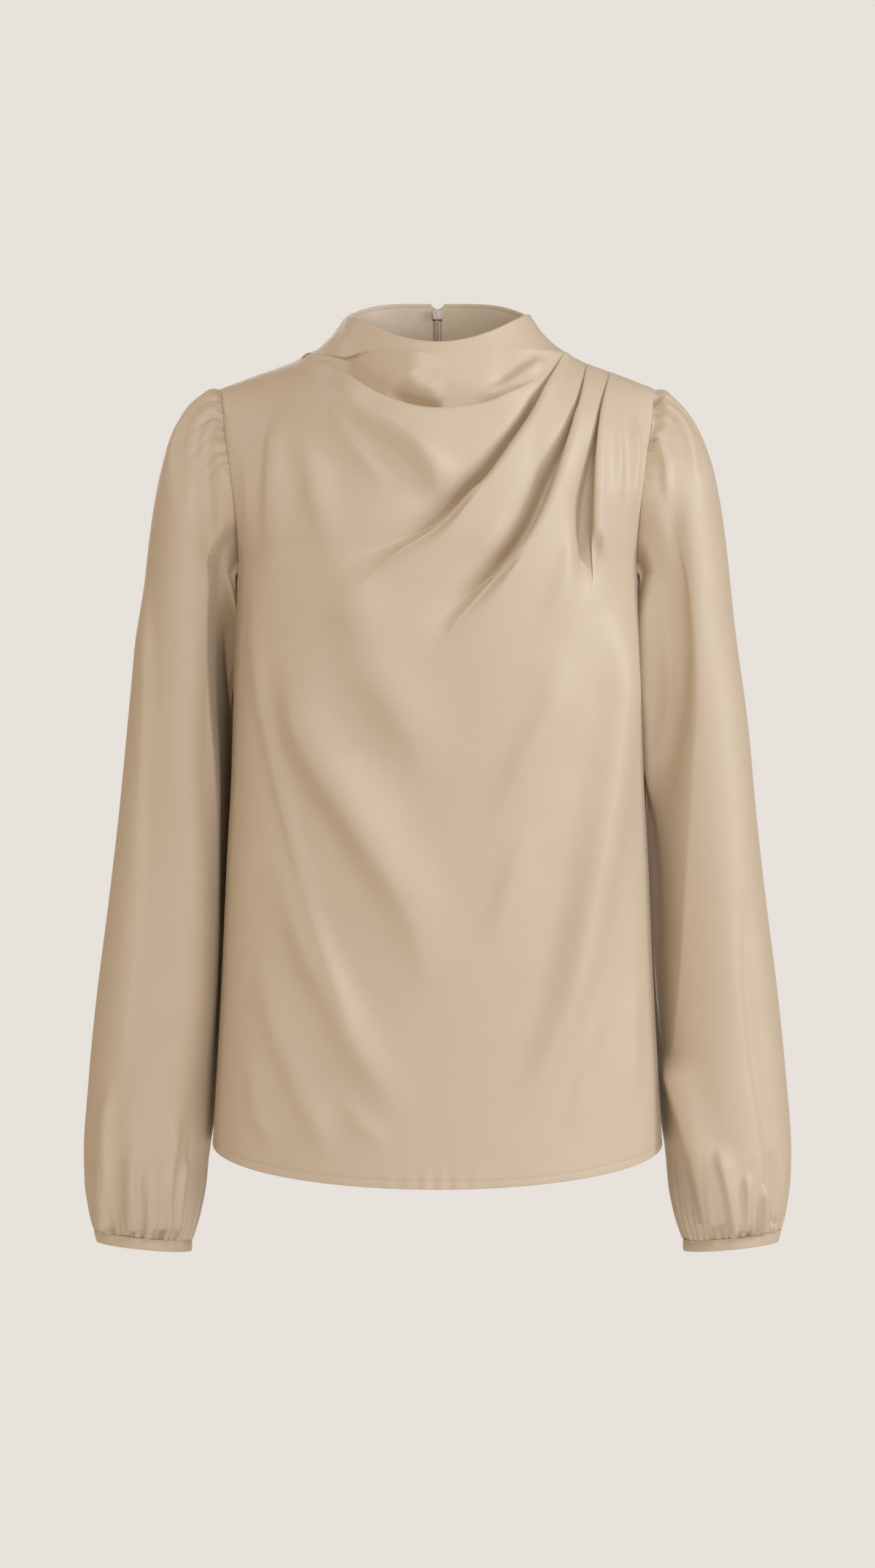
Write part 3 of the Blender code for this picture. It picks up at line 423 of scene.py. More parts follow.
NOTCH_BOTTOM = 44
NOTCH_TOP_HALF = 5
CHANNEL_HALF = 1.1
TAPE_WIDTH = 11
TAPE_WALL = 1.0
COIL_OFFSET = 1.2
COIL_PITCH = 0.85
COIL_RADIUS = 0.7
COIL_FLATNESS = 0.8
COIL_STEPS_PER_TURN = 8
WIRE_RADIUS = 0.36
WIRE_SIDES = 5
CLEAR = 0.4
SLIDER_OUTLINE = ((3.3, 36.2), (4.35, 42.3), (2.15, 45.5))
SLIDER_DEPTH = 4.0
SLIDER_CLEAR = 0.6
BRIDGE_HALF_WIDTH = 0.6
BRIDGE_RING = 1.1
BRIDGE_STEPS = 15
EYE_HALF = 1.2
PULL_AXIS_Z = 41.0
PULL_AXIS_OUT = 3.4
PULL_THICKNESS = 1.1
PULL_STEPS = 34
PULL_RIM_SHARE = 0.6
PULL_FACE_SHARE = 0.88
PULL_COLUMNS = ("down", "half_width")
PULL_OUTLINE = (
    (-0.55, 2.3), (0.5, 2.5), (4.5, 2.5), (7.5, 1.9), (12, 2.3), (17, 3.1), (20, 2.9), (21.6, 1.9), (22, 0.8),
)
YOKE_DROP = 14
START_HEIGHT = -100.0

# ---------------------------------------------------------------- how finely the cloth is made

FRONT_COLUMNS = (54, 80, 22, 40, 40, 50)
COLLAR_LINES = {"right_collar": 0.30, "left_collar": 0.88}
CREASE_PLACES = (-1, -0.8, -0.62, -0.5, -0.36, -0.18, 0, 0.18, 0.34, 0.44, 0.52, 0.62, 0.78, 1)
FRONT_ROW_COUNT = 208
COLLAR_ROW_COUNT = 46
BACK_ROW_COUNT = 170
BACK_TOP_ROW_COUNT = 44
BACK_CENTRE = (0, 0.4, 0.9, 1.6, 2.6, 4, 6, 8.4, 11)
BACK_COLUMN_COUNTS = (48, 54)
BACK_COLLAR_SHARE = 0.42
SLEEVE_SIDES = 312
SLEEVE_ROW_COUNT = 280
SEAM_ROWS = (0, 0.4, 0.8, 1.3, 2.0)
SLEEVE_CROWDING = 0.055
# Rows of a panel as shares of the way up: close together at the hem's turn, and again next to the upper edge.
HEM_ROWS = (0, 0.0015, 0.004, 0.0065, 0.0083, 0.0095, 0.0107, 0.0125)
ROWS_ABOVE_HEM = 0.016
TOP_CROWDING = 1.3
SIDE_CROWDING = 1.4
EDGE_ROWS = (0.45, 0.18, 0.06, 0.012)
SETTLE_ROUNDS = 26
PLACE_STEPS = 24

# Edges of the cloth, turned in: how far in behind the face, and how far past the edge (or back up inside it).
HEM_TURN = ((1.3, -7.2), (1.3, -4), (1.2, -0.4), (1.0, 0.25), (0.6, 0.5), (0.15, 0.35))
COLLAR_TURN = ((0.5, 0.9), (1.3, 1.2), (2.1, 0.9), (2.5, 0.1), (2.6, -2), (2.7, -6), (2.9, -12), (3.2, -18),
               (3.6, -25))
NECK_TURN = ((0.4, 0.6), (1.1, 0.8), (1.8, 0.5), (2.2, -0.3), (2.25, -1.4), (2.05, -2.2), (2.3, -3.2),
             (2.5, -6), (2.7, -10), (2.9, -15), (3.1, -20), (3.2, -25), (3.3, -31), (3.3, -38), (3.3, -45))
COLLAR_TURN_PITCH = 2.5
NECK_TURN_PITCH = 3
SEAM_TURN_START = 0.3
SEAM_TURN_DEPTH = 3.0
SEAM_TURN_DROP = 0.2
SEAM_TURN_FROM = 2
SEAM_TURN_FADE = 8
CENTRE_DIP = 1.1
CENTRE_DIP_WIDTH = 0.8
FACING_GAP = 3.6
HEM_STITCH_UP = 6.0
HEM_GROOVE = 0.28
HEM_RIPPLE = 0.4
HEM_RIPPLE_REACH = 22
HEM_RIPPLE_X = 0
HEM_RIPPLE_WIDTH = 48
EDGE_ROUND = 0.5
EDGE_ROUND_WIDTH = 0.7
PUCKER = 0.28
PUCKER_PITCH = 6.5
PUCKER_REACH = 6


def smooth(knots, values, at):
    """Reads a table between its rows with a curve that never overshoots (monotone cubic)."""
    x = np.asarray(knots, float)
    y = np.asarray(values, float)
    step = np.diff(x)
    slope = np.diff(y) / step
    tangent = np.zeros_like(y)
    tangent[0], tangent[-1] = slope[0], slope[-1]
    for i in range(1, len(x) - 1):
        if slope[i - 1] * slope[i] > 0:
            near = 2 * step[i] + step[i - 1]
            far = step[i] + 2 * step[i - 1]
            tangent[i] = (near + far) / (near / slope[i - 1] + far / slope[i])
    at = np.clip(at, x[0], x[-1])
    i = np.clip(np.searchsorted(x, at) - 1, 0, len(step) - 1)
    t = (at - x[i]) / step[i]
    rise = t * t * (3 - 2 * t)
    lead = t * (1 - t) ** 2 * step[i] * tangent[i]
    trail = t * t * (t - 1) * step[i] * tangent[i + 1]
    return y[i] * (1 - rise) + y[i + 1] * rise + lead + trail


def column(table, names, key, value, at):
    """Looks up one named column of a table by another."""
    knots = [row[names.index(key)] for row in table]
    values = [row[names.index(value)] for row in table]
    return smooth(knots, values, at)


def lengths_along(path):
    """How far along a line of points each one lies."""
    return np.concatenate([[0], np.cumsum(np.linalg.norm(np.diff(path, axis=0), axis=1))])


def read_path(at, along, path):
    """Points of a path at distances along it."""
    return np.stack([np.interp(at, along, path[:, i]) for i in range(3)], axis=-1)


def ease(t):
    """0 to 1 with a soft start and end."""
    t = np.clip(t, 0, 1)
    return t * t * (3 - 2 * t)


def round_side(share, power):
    """Superellipse: 1 in the middle, 0 at a share of 1."""
    share = np.clip(np.abs(share), 0, 1)
    return (1 - share**power) ** (1 / power)


def torso(name, z):
    return column(TORSO, TORSO_COLUMNS, "height", name, z)


def seam_height(x):
    return column(SIDE_LINE, SIDE_LINE_COLUMNS, "across", "height", np.abs(x))


def shoulder_height(x):
    """Height of the shoulder line, carried on under the neck and past the shoulder point."""
    across = np.abs(x)
    under_neck = NECK_BASE_Z + NECK_RISE * (NECK_BASE_X - across)
    past_shoulder = SHOULDER_Z - SHOULDER_SLOPE * (across - SHOULDER_X)
    line = np.where(across > SHOULDER_X, past_shoulder, seam_height(across))
    return np.where(across < NECK_BASE_X, under_neck, line)


FUNNEL_WIDTHS = np.linspace(NECK_BASE_X, COLLAR_SIDE_X, 200)
FUNNEL_HEIGHTS = seam_height(FUNNEL_WIDTHS)


def neck_half_width(z):
    flare = NECK_FLARE * np.clip(NECK_BASE_Z - z, 0, None)
    narrowing = NECK_NARROWING * np.clip(z - COLLAR_SIDE_Z, 0, None)
    return np.interp(z, FUNNEL_HEIGHTS, FUNNEL_WIDTHS) + flare - narrowing


def seam_y(z):
    return SIDE_SEAM_Y * ease((z + 170) / 130)


def reach(side, x, z):
    """How far the front or back stands out from the seam at a place across and a height."""
    rounding = 1 - np.clip((shoulder_height(x) - z) / SHOULDER_DROP, 0, 1)
    chest = torso(side, z) * round_side(x / torso("half_width", z), SIDE_ROUND) * round_side(rounding, 2)
    neck = column(NECK, NECK_COLUMNS, "height", side, z) * round_side(x / neck_half_width(z), 2.2)
    return (chest**BLEND_POWER + neck**BLEND_POWER) ** (1 / BLEND_POWER)


def surface_y(side, x, z):
    sign = -1 if side == "front" else 1
    return seam_y(z) + sign * (reach(side, x, z) + SEAM_HALF)


def outward(side, x, z):
    """Unit normals of the base form, away from the wearer."""
    step = 1.0
    sign = -1 if side == "front" else 1
    across = (surface_y(side, x + step, z) - surface_y(side, x - step, z)) / (2 * step)
    up = (surface_y(side, x, z + step) - surface_y(side, x, z - step)) / (2 * step)
    normal = np.stack([-sign * across, np.full_like(across, sign), -sign * up], axis=-1)
    return normal / np.linalg.norm(normal, axis=-1, keepdims=True)


def half_width(z):
    """The panels' edge: the side seam, then the armhole, then the shoulder and collar seam."""
    armhole = column(ARMHOLE, ARMHOLE_COLUMNS, "height", "across", z)
    return np.where(z < ARMHOLE[0][0], torso("half_width", z), armhole)


def hem_height(side, x):
    drop = HEM_DROP_FRONT if side == "front" else HEM_DROP_BACK
    return HEM_SIDE - drop * round_side(x / torso("half_width", np.full_like(x, HEM_SIDE)), HEM_ROUND)


def top_height(side, x):
    """The panel's upper edge: shoulder seam, collar seam and collar edge."""
    share = np.clip(np.abs(x) / COLLAR_SIDE_X, 0, 1)
    if side == "front":
        edge = COLLAR_FRONT + (COLLAR_SIDE_Z - COLLAR_FRONT) * share**2
    else:
        edge = COLLAR_BACK - (COLLAR_BACK - COLLAR_SIDE_Z) * share**4
    return np.where(np.abs(x) < COLLAR_SIDE_X, edge, seam_height(x))


# ---------------------------------------------------------------- folds


def cowl_height(x):
    return column(COWL, COWL_COLUMNS, "across", "height", x)


def cowl_slope(x):
    return sum(cowl_height(x + gap) - cowl_height(x - gap) for gap in (2, 4, 6)) / 24


def pleat_across(name, z):
    return column(PLEATS[name], PLEAT_COLUMNS, "height", "across", z)


def pleat_slope(name, z):
    return sum(pleat_across(name, z + gap) - pleat_across(name, z - gap) for gap in (4, 8, 12)) / 48


def rolled_edge(distance, lip, step, trough, lip_width, trough_width, blur):
    """A fold's edge in section: cloth standing out on one side, a step down, and a trough beside it."""
    side = ease(0.5 + distance / (2 * blur))
    out = lip * np.exp(-np.clip(distance, 0, None) / lip_width)
    beside = np.clip(-distance, 0, None) / trough_width
    down = step * np.exp(-beside / 2.4) + trough * beside * np.exp(1 - beside)
    return side * out - (1 - side) * down


def turn_over(distance):
    """Within a crease, how far the cloth swings over (below 0) and back under (above 0) its edge."""
    return -np.sin(math.pi * np.clip(distance / CREASE_HALF, -1, 1))


def cowl_roll(x, z):
    """The cowl's edge: its lift, and how far it swings across and up."""
    slope = cowl_slope(x)
    stretch = np.sqrt(1 + slope**2)
    distance = (cowl_height(x) - z) / stretch
    strength = ease((COWL_REACH - np.where(x > 0, x + COWL_SHORTER_LEFT, -x)) / COWL_FADE)
    lift = strength * rolled_edge(
        distance, COWL_LIP, COWL_STEP, COWL_TROUGH, COWL_LIP_WIDTH, COWL_TROUGH_WIDTH, CREASE_HALF
    )
    swing = -COWL_OVERHANG * strength * turn_over(distance)
    return lift, -swing * slope / stretch, swing / stretch


def pleat_roll(name, x, z, top):
    """A pleat's edge: its lift, and how far it swings across and up."""
    shape = PLEAT_SHAPES[name]
    slope = pleat_slope(name, z)
    stretch = np.sqrt(1 + slope**2)
    distance = (x - pleat_across(name, z)) / stretch
    fading = ease((shape["crisp_to"] - z) / (shape["crisp_to"] - shape["gone_at"]))
    start = ease((top - z) / PLEAT_START)
    strength = (1 - fading) * (PLEAT_FLAT + (1 - PLEAT_FLAT) * start)
    blur = CREASE_HALF + PLEAT_BLUR * fading
    opening = PLEAT_NARROW + (1 - PLEAT_NARROW) * ease((top - z) / PLEAT_OPENS) ** 2
    step = shape["step"] * (PLEAT_STEP_LEAST + (1 - PLEAT_STEP_LEAST) * opening)
    trough = shape["trough"] * opening
    trough_width = shape["trough_width"] * opening
    lip, lip_width = shape["lip"], shape["lip_width"]
    lift = strength * rolled_edge(distance, lip, step, trough, lip_width, trough_width, blur)
    swing = shape["overhang"] * strength * (1 - fading) * turn_over(distance)
    return lift, swing / stretch, -swing * slope / stretch


def soft_fold(points, left_width, right_width, height_out, start_fade, end_fade, x, z):
    """A soft ridge (or a trough, when height_out is negative) along a line of points, fading at both ends."""
    px = np.array([p[0] for p in points], float)
    pz = np.array([p[1] for p in points], float)
    along = np.concatenate([[0], np.cumsum(np.hypot(np.diff(px), np.diff(pz)))])
    fine = np.linspace(0, along[-1], FOLD_STEPS)
    fx, fz = smooth(along, px, fine), smooth(along, pz, fine)
    widest = 2.6 * max(left_width, right_width)
    near = (x > fx.min() - widest) & (x < fx.max() + widest)
    near = near & (z > fz.min() - widest) & (z < fz.max() + widest)
    lift = np.zeros(x.shape)
    nx, nz = x[near], z[near]
    nearest = np.full(nx.shape, 1e9)
    place = np.zeros(nx.shape)
    to_right = np.zeros(nx.shape)
    for i in range(FOLD_STEPS - 1):
        dx, dz = fx[i + 1] - fx[i], fz[i + 1] - fz[i]
        t = np.clip(((nx - fx[i]) * dx + (nz - fz[i]) * dz) / (dx * dx + dz * dz), 0, 1)
        off_x = nx - fx[i] - t * dx
        distance = np.hypot(off_x, nz - fz[i] - t * dz)
        closer = distance < nearest
        nearest = np.where(closer, distance, nearest)
        place = np.where(closer, (i + t) / (FOLD_STEPS - 1), place)
        to_right = np.where(closer, off_x, to_right)
    share = 0.5 + 0.5 * np.clip(to_right / np.maximum(nearest, 1e-6), -1, 1)
    width = left_width + (right_width - left_width) * ease(share)
    ends = ease(place / start_fade) * ease((1 - place) / end_fade)
    lift[near] = height_out * ends * np.exp(-((nearest / width) ** 2))
    return lift


def folds(side, x, z):
    lift = np.zeros(x.shape)
    for values in BODY_FOLDS:
        fold = dict(zip(FOLD_COLUMNS, values))
        if fold.pop("side") == side:
            lift += soft_fold(**fold, x=x, z=z)
    return lift * FOLD_DEPTH


def edge_dip(distance):
    """Cloth rounds down into a seam."""
    return EDGE_ROUND * np.exp(-((distance / EDGE_ROUND_WIDTH) ** 2))


def panel_points(side, x, z, inward=0.0, in_collar=0.0):
    """Places the panel's points on the base form and moves them out by its folds, or in behind them."""
    top = top_height(side, x)
    from_side = np.clip(half_width(z) - np.abs(x), 0, None)
    from_top = np.where(np.abs(x) < COLLAR_SIDE_X, np.inf, np.clip(top - z, 0, None))
    lift = folds(side, x, z)
    if side == "front":
        lift = lift * (1 - in_collar) + folds("collar", x, z) * in_collar
    lift = lift * ease(from_side / FOLD_EDGE) * ease(from_top / FOLD_EDGE)
    shift_x, shift_z = np.zeros(x.shape), np.zeros(x.shape)
    if side == "front":
        edge = ease(from_side / CREASE_EDGE) * ease(TOP_SHARE + from_top / TOP_FADE)
        rolls = [cowl_roll(x, z)] + [pleat_roll(name, x, z, top) for name in PLEATS]
        for rise, across, up in rolls:
            lift = lift + rise * edge
            shift_x = shift_x + across * edge
            shift_z = shift_z + up * edge
    on_armhole = ease((z - ARMHOLE[0][0]) / 6)
    lift = lift - edge_dip(from_side) * on_armhole - edge_dip(from_top)
    puckers = np.sin(2 * math.pi * z / PUCKER_PITCH + 2 * np.sin(z / 17)) * np.exp(-from_side / PUCKER_REACH)
    lift = lift + PUCKER * puckers * on_armhole * ease(from_side / 2)
    from_hem = z - hem_height(side, x)
    lift = lift - HEM_GROOVE * np.exp(-(((from_hem - HEM_STITCH_UP) / 0.9) ** 2))
    ripple = np.sin(x / 2.6 + 2.5 * np.sin(x / 19)) * np.exp(-(((x - HEM_RIPPLE_X) / HEM_RIPPLE_WIDTH) ** 2))
    lift = lift + HEM_RIPPLE * ripple * ease((HEM_RIPPLE_REACH - from_hem) / HEM_RIPPLE_REACH)
    x, z = x + shift_x, z + shift_z
    base = np.stack([x, surface_y(side, x, z), z], axis=-1)
    return base + outward(side, x, z) * (lift - inward)[..., None]


def cloth_place(side, x, z):
    """Where each point lies on the cloth laid flat, in metres: round the body from its middle, and up."""
    across = np.zeros(x.shape)
    last_x, last_y = np.zeros(x.shape), surface_y(side, np.zeros(x.shape), z)
    for i in range(1, PLACE_STEPS + 1):
        next_x = x * i / PLACE_STEPS
        next_y = surface_y(side, next_x, z)
        across += np.hypot(next_x - last_x, next_y - last_y)
        last_x, last_y = next_x, next_y
    y = surface_y(side, x, z)
    rise = np.hypot(np.diff(z, axis=0), np.diff(y, axis=0)) * np.sign(np.diff(z, axis=0))
    up = z[:1] + np.concatenate([np.zeros_like(z[:1]), np.cumsum(rise, axis=0)])
    return np.stack([across * np.sign(x), up], axis=-1) * MM


# ---------------------------------------------------------------- the front


def top_edge_between(side, start, end, shares):
    """Points on the upper edge between two places across, at shares of its length."""
    x = np.linspace(start, end, 400)
    z = top_height(side, x)
    along = np.concatenate([[0], np.cumsum(np.hypot(np.diff(x), np.diff(z)))])
    px = np.interp(np.asarray(shares) * along[-1], along, x)
    return px, top_height(side, px)


def settle(across, rise, start):
    """Finds where each column, a place across for a height, meets a row, a height for a place across."""
    x = start
    for _ in range(SETTLE_ROUNDS):
        z = rise(x)
        x = 0.5 * x + 0.5 * across(z)
    return x, rise(x)


def front_columns():
    """Each column as (left line, right line, share between them, place in the right line's crease)."""
    lines = ["right_side", *COLLAR_LINES, *PLEATS, "left_side"]
    columns = []
    for interval, count in enumerate(FRONT_COLUMNS):
        left, right = lines[interval], lines[interval + 1]
        shares = np.linspace(0, 1, count + 1)
        if left == "right_side":
            shares = shares**SIDE_CROWDING
        if right == "left_side":
            shares = 1 - (1 - shares) ** SIDE_CROWDING
        for share in shares:
            if share == 0 and left != "right_side":
                continue
            if share == 1 and right in PLEATS:
                columns += [(left, right, 1, place) for place in CREASE_PLACES]
            else:
                columns.append((left, right, share, 0))
    return columns


def line_across(name, z):
    if name == "right_side":
        return -half_width(z)
    if name == "left_side":
        return half_width(z)
    if name in COLLAR_LINES:
        share = COLLAR_LINES[name]
        return -half_width(z) * (1 - share) + pleat_across("neck_pleat", z) * share
    return pleat_across(name, z)


def top_of(name):
    """Where a column line meets the upper edge."""
    corners = {
        "right_side": -SHOULDER_X,
        "right_collar": -COLLAR_SIDE_X,
        "left_collar": COLLAR_SIDE_X,
        "left_side": SHOULDER_X,
    }
    return corners[name] if name in corners else PLEATS[name][-1][1]


def crease_nudge(left, right, share, place, z):
    """Keeps a crease's columns beside its line, and the columns between two lines clear of both creases."""
    nudge = np.zeros_like(z)
    if place or (share == 1 and right in PLEATS):
        return place * CREASE_HALF * np.sqrt(1 + pleat_slope(right, z) ** 2)
    if left in PLEATS:
        nudge = nudge + (1 - share) * CREASE_HALF * np.sqrt(1 + pleat_slope(left, z) ** 2)
    if right in PLEATS:
        nudge = nudge - share * CREASE_HALF * np.sqrt(1 + pleat_slope(right, z) ** 2)
    return nudge


def shares_below(count):
    """Shares of the way up the body of a panel, closest together where the hem turns."""
    return np.concatenate([HEM_ROWS, np.linspace(ROWS_ABOVE_HEM, 1, count)])


def shares_above(count):
    """Shares of the way to the upper edge, with more rows where the cloth curves into the seam."""
    shares = 1 - (1 - np.linspace(0, 1, count + 1)[1:]) ** TOP_CROWDING
    last = 1 - shares[-2]
    return np.concatenate([shares[:-1], 1 - last * np.array(EDGE_ROWS), [1]])


def front_grid():
    """Rows of points (across, height) from the hem to the upper edge, and each row's share in the collar."""
    below = shares_below(FRONT_ROW_COUNT)
    above = shares_above(COLLAR_ROW_COUNT)
    crease = np.array(CREASE_PLACES)[::-1]
    xs, zs = [], []
    for left, right, share, place in front_columns():

        def across(z):
            between = line_across(left, z) * (1 - share) + line_across(right, z) * share
            return between + crease_nudge(left, right, share, place, z)

        def rise(x):
            edge = cowl_height(x) - CREASE_HALF * np.sqrt(1 + cowl_slope(x) ** 2)
            return hem_height("front", x) * (1 - below) + edge * below

        x, z = settle(across, rise, np.zeros(len(below)) + across(np.array(START_HEIGHT)))
        end_x, end_z = top_edge_between("front", top_of(left), top_of(right), share)
        if place:
            end_x = end_x + place * CREASE_HALF * 1.1
            end_z = top_height("front", end_x)
        crease_x = np.full(len(crease) - 1, x[-1])
        stretch = np.sqrt(1 + cowl_slope(x[-1]) ** 2)
        crease_z = cowl_height(crease_x) - crease[1:] * CREASE_HALF * stretch
        xs.append(np.concatenate([x, crease_x, x[-1] + (end_x - x[-1]) * above]))
        zs.append(np.concatenate([z, crease_z, crease_z[-1] + (end_z - crease_z[-1]) * above]))
    in_collar = np.concatenate([
        np.zeros(len(below)), ease(0.5 - crease[1:] / 0.6), np.ones(len(above)),
    ])
    return np.array(xs).T, np.array(zs).T, in_collar


def turned_hem(side, x, z, flat):
    """The hem's rows, turned up inside: their points and their places on the flat cloth."""
    points = [panel_points(side, x[:1], z[:1] - past, inward) for inward, past in HEM_TURN]
    places = [flat[:1] - np.array([0, past * MM]) for _, past in HEM_TURN]
    return points, places


def turned_top(table, top_x, flat, pitch):
    """Each row of an upper edge's turn as (depth in, distance past the edge, place on the flat cloth).

    Along the collar it follows the table, and along the shoulder it sinks into the seam.
    """
    in_seam = ease((np.abs(top_x) - COLLAR_SIDE_X + SEAM_TURN_FROM) / SEAM_TURN_FADE)
    for i, (inward, past) in enumerate(table):
        seam_inward = SEAM_TURN_START + SEAM_TURN_DEPTH * (i + 1) / len(table)
        depth = inward * (1 - in_seam) + seam_inward * in_seam
        over = past * (1 - in_seam) - SEAM_TURN_DROP * in_seam
        yield depth, over, flat[-1:] + np.array([0, (i + 1) * pitch * MM])


def front_cloth():
    x, z, in_collar = front_grid()
    shown = panel_points("front", x, z, 0.0, np.broadcast_to(in_collar[:, None], x.shape))
    flat = cloth_place("front", x, z)
    hem, hem_flat = turned_hem("front", x, z, flat)
    top_x, top_z = x[-1:], z[-1:]
    inside, inside_flat = [], []
    for depth, over, place in turned_top(COLLAR_TURN, top_x, flat, COLLAR_TURN_PITCH):
        inside.append(panel_points("front", top_x, top_z + over, depth, np.ones(top_x.shape)))
        inside_flat.append(place)
    return np.concatenate(hem + [shown] + inside), np.concatenate(hem_flat + [flat] + inside_flat)


# ---------------------------------------------------------------- the back


def centre_back_gap(z):
    """Half the opening at the centre back: a seam, a channel for the slider, and a notch at the top."""
    channel = SEAM_HALF + (CHANNEL_HALF - SEAM_HALF) * ease((z - 24) / 8)
    return channel + (NOTCH_TOP_HALF - CHANNEL_HALF) * np.clip((z - NOTCH_BOTTOM) / 4, 0, 1)


def back_columns():
    """Each column as (inset from the centre, share to the side, zone, share of the zone's upper edge)."""
    columns = [(inset, 0, 0, 0) for inset in BACK_CENTRE]
    collar, side = BACK_COLUMN_COUNTS
    for share in np.linspace(0, 1, collar + 1)[1:]:
        columns.append((TAPE_WIDTH, share * BACK_COLLAR_SHARE, 1, share))
    for share in 1 - (1 - np.linspace(0, 1, side + 1)[1:]) ** SIDE_CROWDING:
        place = BACK_COLLAR_SHARE + (1 - BACK_COLLAR_SHARE) * share
        columns.append((TAPE_WIDTH, place, 2, share))
    return columns


def back_grid():
    """Rows of points on the wearer's left half, from the hem to under the shoulder and to the upper edge."""
    below = shares_below(BACK_ROW_COUNT)
    above = shares_above(BACK_TOP_ROW_COUNT)
    starts = {1: (NOTCH_TOP_HALF + TAPE_WIDTH, COLLAR_SIDE_X), 2: (COLLAR_SIDE_X, SHOULDER_X)}
    xs, zs = [], []
    for inset, share, zone, top_share in back_columns():

        def across(z):
            return (centre_back_gap(z) + inset) * (1 - share) + half_width(z) * share

        def rise(x):
            yoke = shoulder_height(x) - YOKE_DROP
            return hem_height("back", x) * (1 - below) + yoke * below

        x, z = settle(across, rise, np.zeros(len(below)) + across(np.array(START_HEIGHT)))
        if zone == 0:
            end_z = top_height("back", np.array(NOTCH_TOP_HALF + inset))
            up_z = z[-1] + (end_z - z[-1]) * above
            up_x = centre_back_gap(up_z) + inset
        else:
            end_x, end_z = top_edge_between("back", *starts[zone], top_share)
            up_z = z[-1] + (end_z - z[-1]) * above
            up_x = x[-1] + (end_x - x[-1]) * above
        xs.append(np.concatenate([x, up_x]))
        zs.append(np.concatenate([z, up_z]))
    return np.array(xs).T, np.array(zs).T


def centre_dip(z, inset):
    """The cloth rolls in at the centre back seam."""
    return CENTRE_DIP * np.exp(-((inset / CENTRE_DIP_WIDTH) ** 2)) * ease((NOTCH_BOTTOM + 6 - z) / 8)


def back_cloth(sign):
    x, z = back_grid()
    flat = cloth_place("back", x, z)
    inset = np.clip(x - centre_back_gap(z), 0, None)
    shown = panel_points("back", sign * x, z, centre_dip(z, inset))
    hem, hem_flat = turned_hem("back", sign * x, z, flat)
    top_x, top_z = x[-1:], z[-1:]
    inside, inside_flat = [], []
    for depth, over, place in turned_top(NECK_TURN, top_x, flat, NECK_TURN_PITCH):
        at_z = top_z + over
        open_x = np.maximum(top_x - NOTCH_TOP_HALF, 0) + np.maximum(
            centre_back_gap(at_z), FACING_GAP * ease((COLLAR_BACK - at_z) / 3)
        )
        closing = ease((TAPE_WIDTH * 2 - top_x) / TAPE_WIDTH)
        at_x = open_x * closing + top_x * (1 - closing)
        inside.append(panel_points("back", sign * at_x, at_z, depth))
        inside_flat.append(place)
    return np.concatenate(hem + [shown] + inside), np.concatenate(hem_flat + [flat] + inside_flat)


# ---------------------------------------------------------------- the sleeves


def armhole_loop(count):
    """Points round the armhole, from the shoulder point down the front, under the arm and up the back."""
    top, bottom = ARMHOLE[-1][0], ARMHOLE[0][0]
    heights = top - (top - bottom) * (1 - np.cos(np.linspace(0, math.pi, 241))) / 2
    x = column(ARMHOLE, ARMHOLE_COLUMNS, "height", "across", heights)
    front = np.stack([x, surface_y("front", x, heights), heights], axis=-1)
    back = np.stack([x, surface_y("back", x, heights), heights], axis=-1)
    loop = np.concatenate([front, back[::-1][1:]])
    along = lengths_along(loop)
    return read_path(np.arange(count) / count * along[-1], along, loop)


def ring_frame(row):
    """The middle of a sleeve ring, the vector from there to its outer edge, and the way along the sleeve."""
    outer = np.array([row["outer_x"], row["middle_y"], row["outer_z"]])
    inner = np.array([row["inner_x"], row["middle_y"], row["inner_z"]])
    arm = (outer - inner) / 2
    away = np.array([arm[2], 0, -arm[0]]) / np.linalg.norm(arm)
    return (outer + inner) / 2, arm, away


def hollow_push(wearer_side, z, p, q):
    """How far the hollow down the sleeve's inner front lies back."""
    edge, depth, soft, keep = [
        column(HOLLOW, HOLLOW_COLUMNS, "height", wearer_side + name, z)
        for name in ("_edge", "_depth", "_soft", "_keep")
    ]
    share = np.clip((edge - p) / (edge + 1.0001), 0, 1)
    peak = HOLLOW_PEAK[wearer_side] + 0.35 * keep
    down = ease(share / peak) ** (soft / 2)
    up = 1 - (1 - keep) * ease((share - peak) / (1 - peak))
    return depth * down * up * ease(q / 0.3)


def body_press(wearer_side, z, p, q):
    """Against the body the sleeve's inner side is pressed flat, and stands further forward."""
    forward = column(PRESS, PRESS_COLUMNS, "height", wearer_side, z)
    return forward * ease((-p - 0.5) / 0.4) * ease((q + 0.3) / 0.45)


def body_close(z, y, p):
    """How far the sleeve's inner side reaches in to lie against the body."""
    return column(PRESS, PRESS_COLUMNS, "height", "close", z) * ease((-p - 0.5) / 0.4) * ease((12 - y) / 14)


def sleeve_table():
    """The sleeve's rings read between the table's rows, and how far along the sleeve each one lies."""
    rows = [dict(zip(SLEEVE_COLUMNS, values)) for values in SLEEVE]
    middles = np.array([ring_frame(row)[0] for row in rows])
    knots = lengths_along(middles)
    even = np.linspace(0, 1, SLEEVE_ROW_COUNT)
    crowd = even - SLEEVE_CROWDING * np.sin(2 * math.pi * even)
    places = np.concatenate([SEAM_ROWS, SEAM_ROWS[-1] + (knots[-1] - SEAM_ROWS[-1]) * crowd[1:]])
    read = {name: smooth(knots, [row[name] for row in rows], places) for name in SLEEVE_COLUMNS}
    return [{name: read[name][i] for name in SLEEVE_COLUMNS} for i in range(len(places))], places


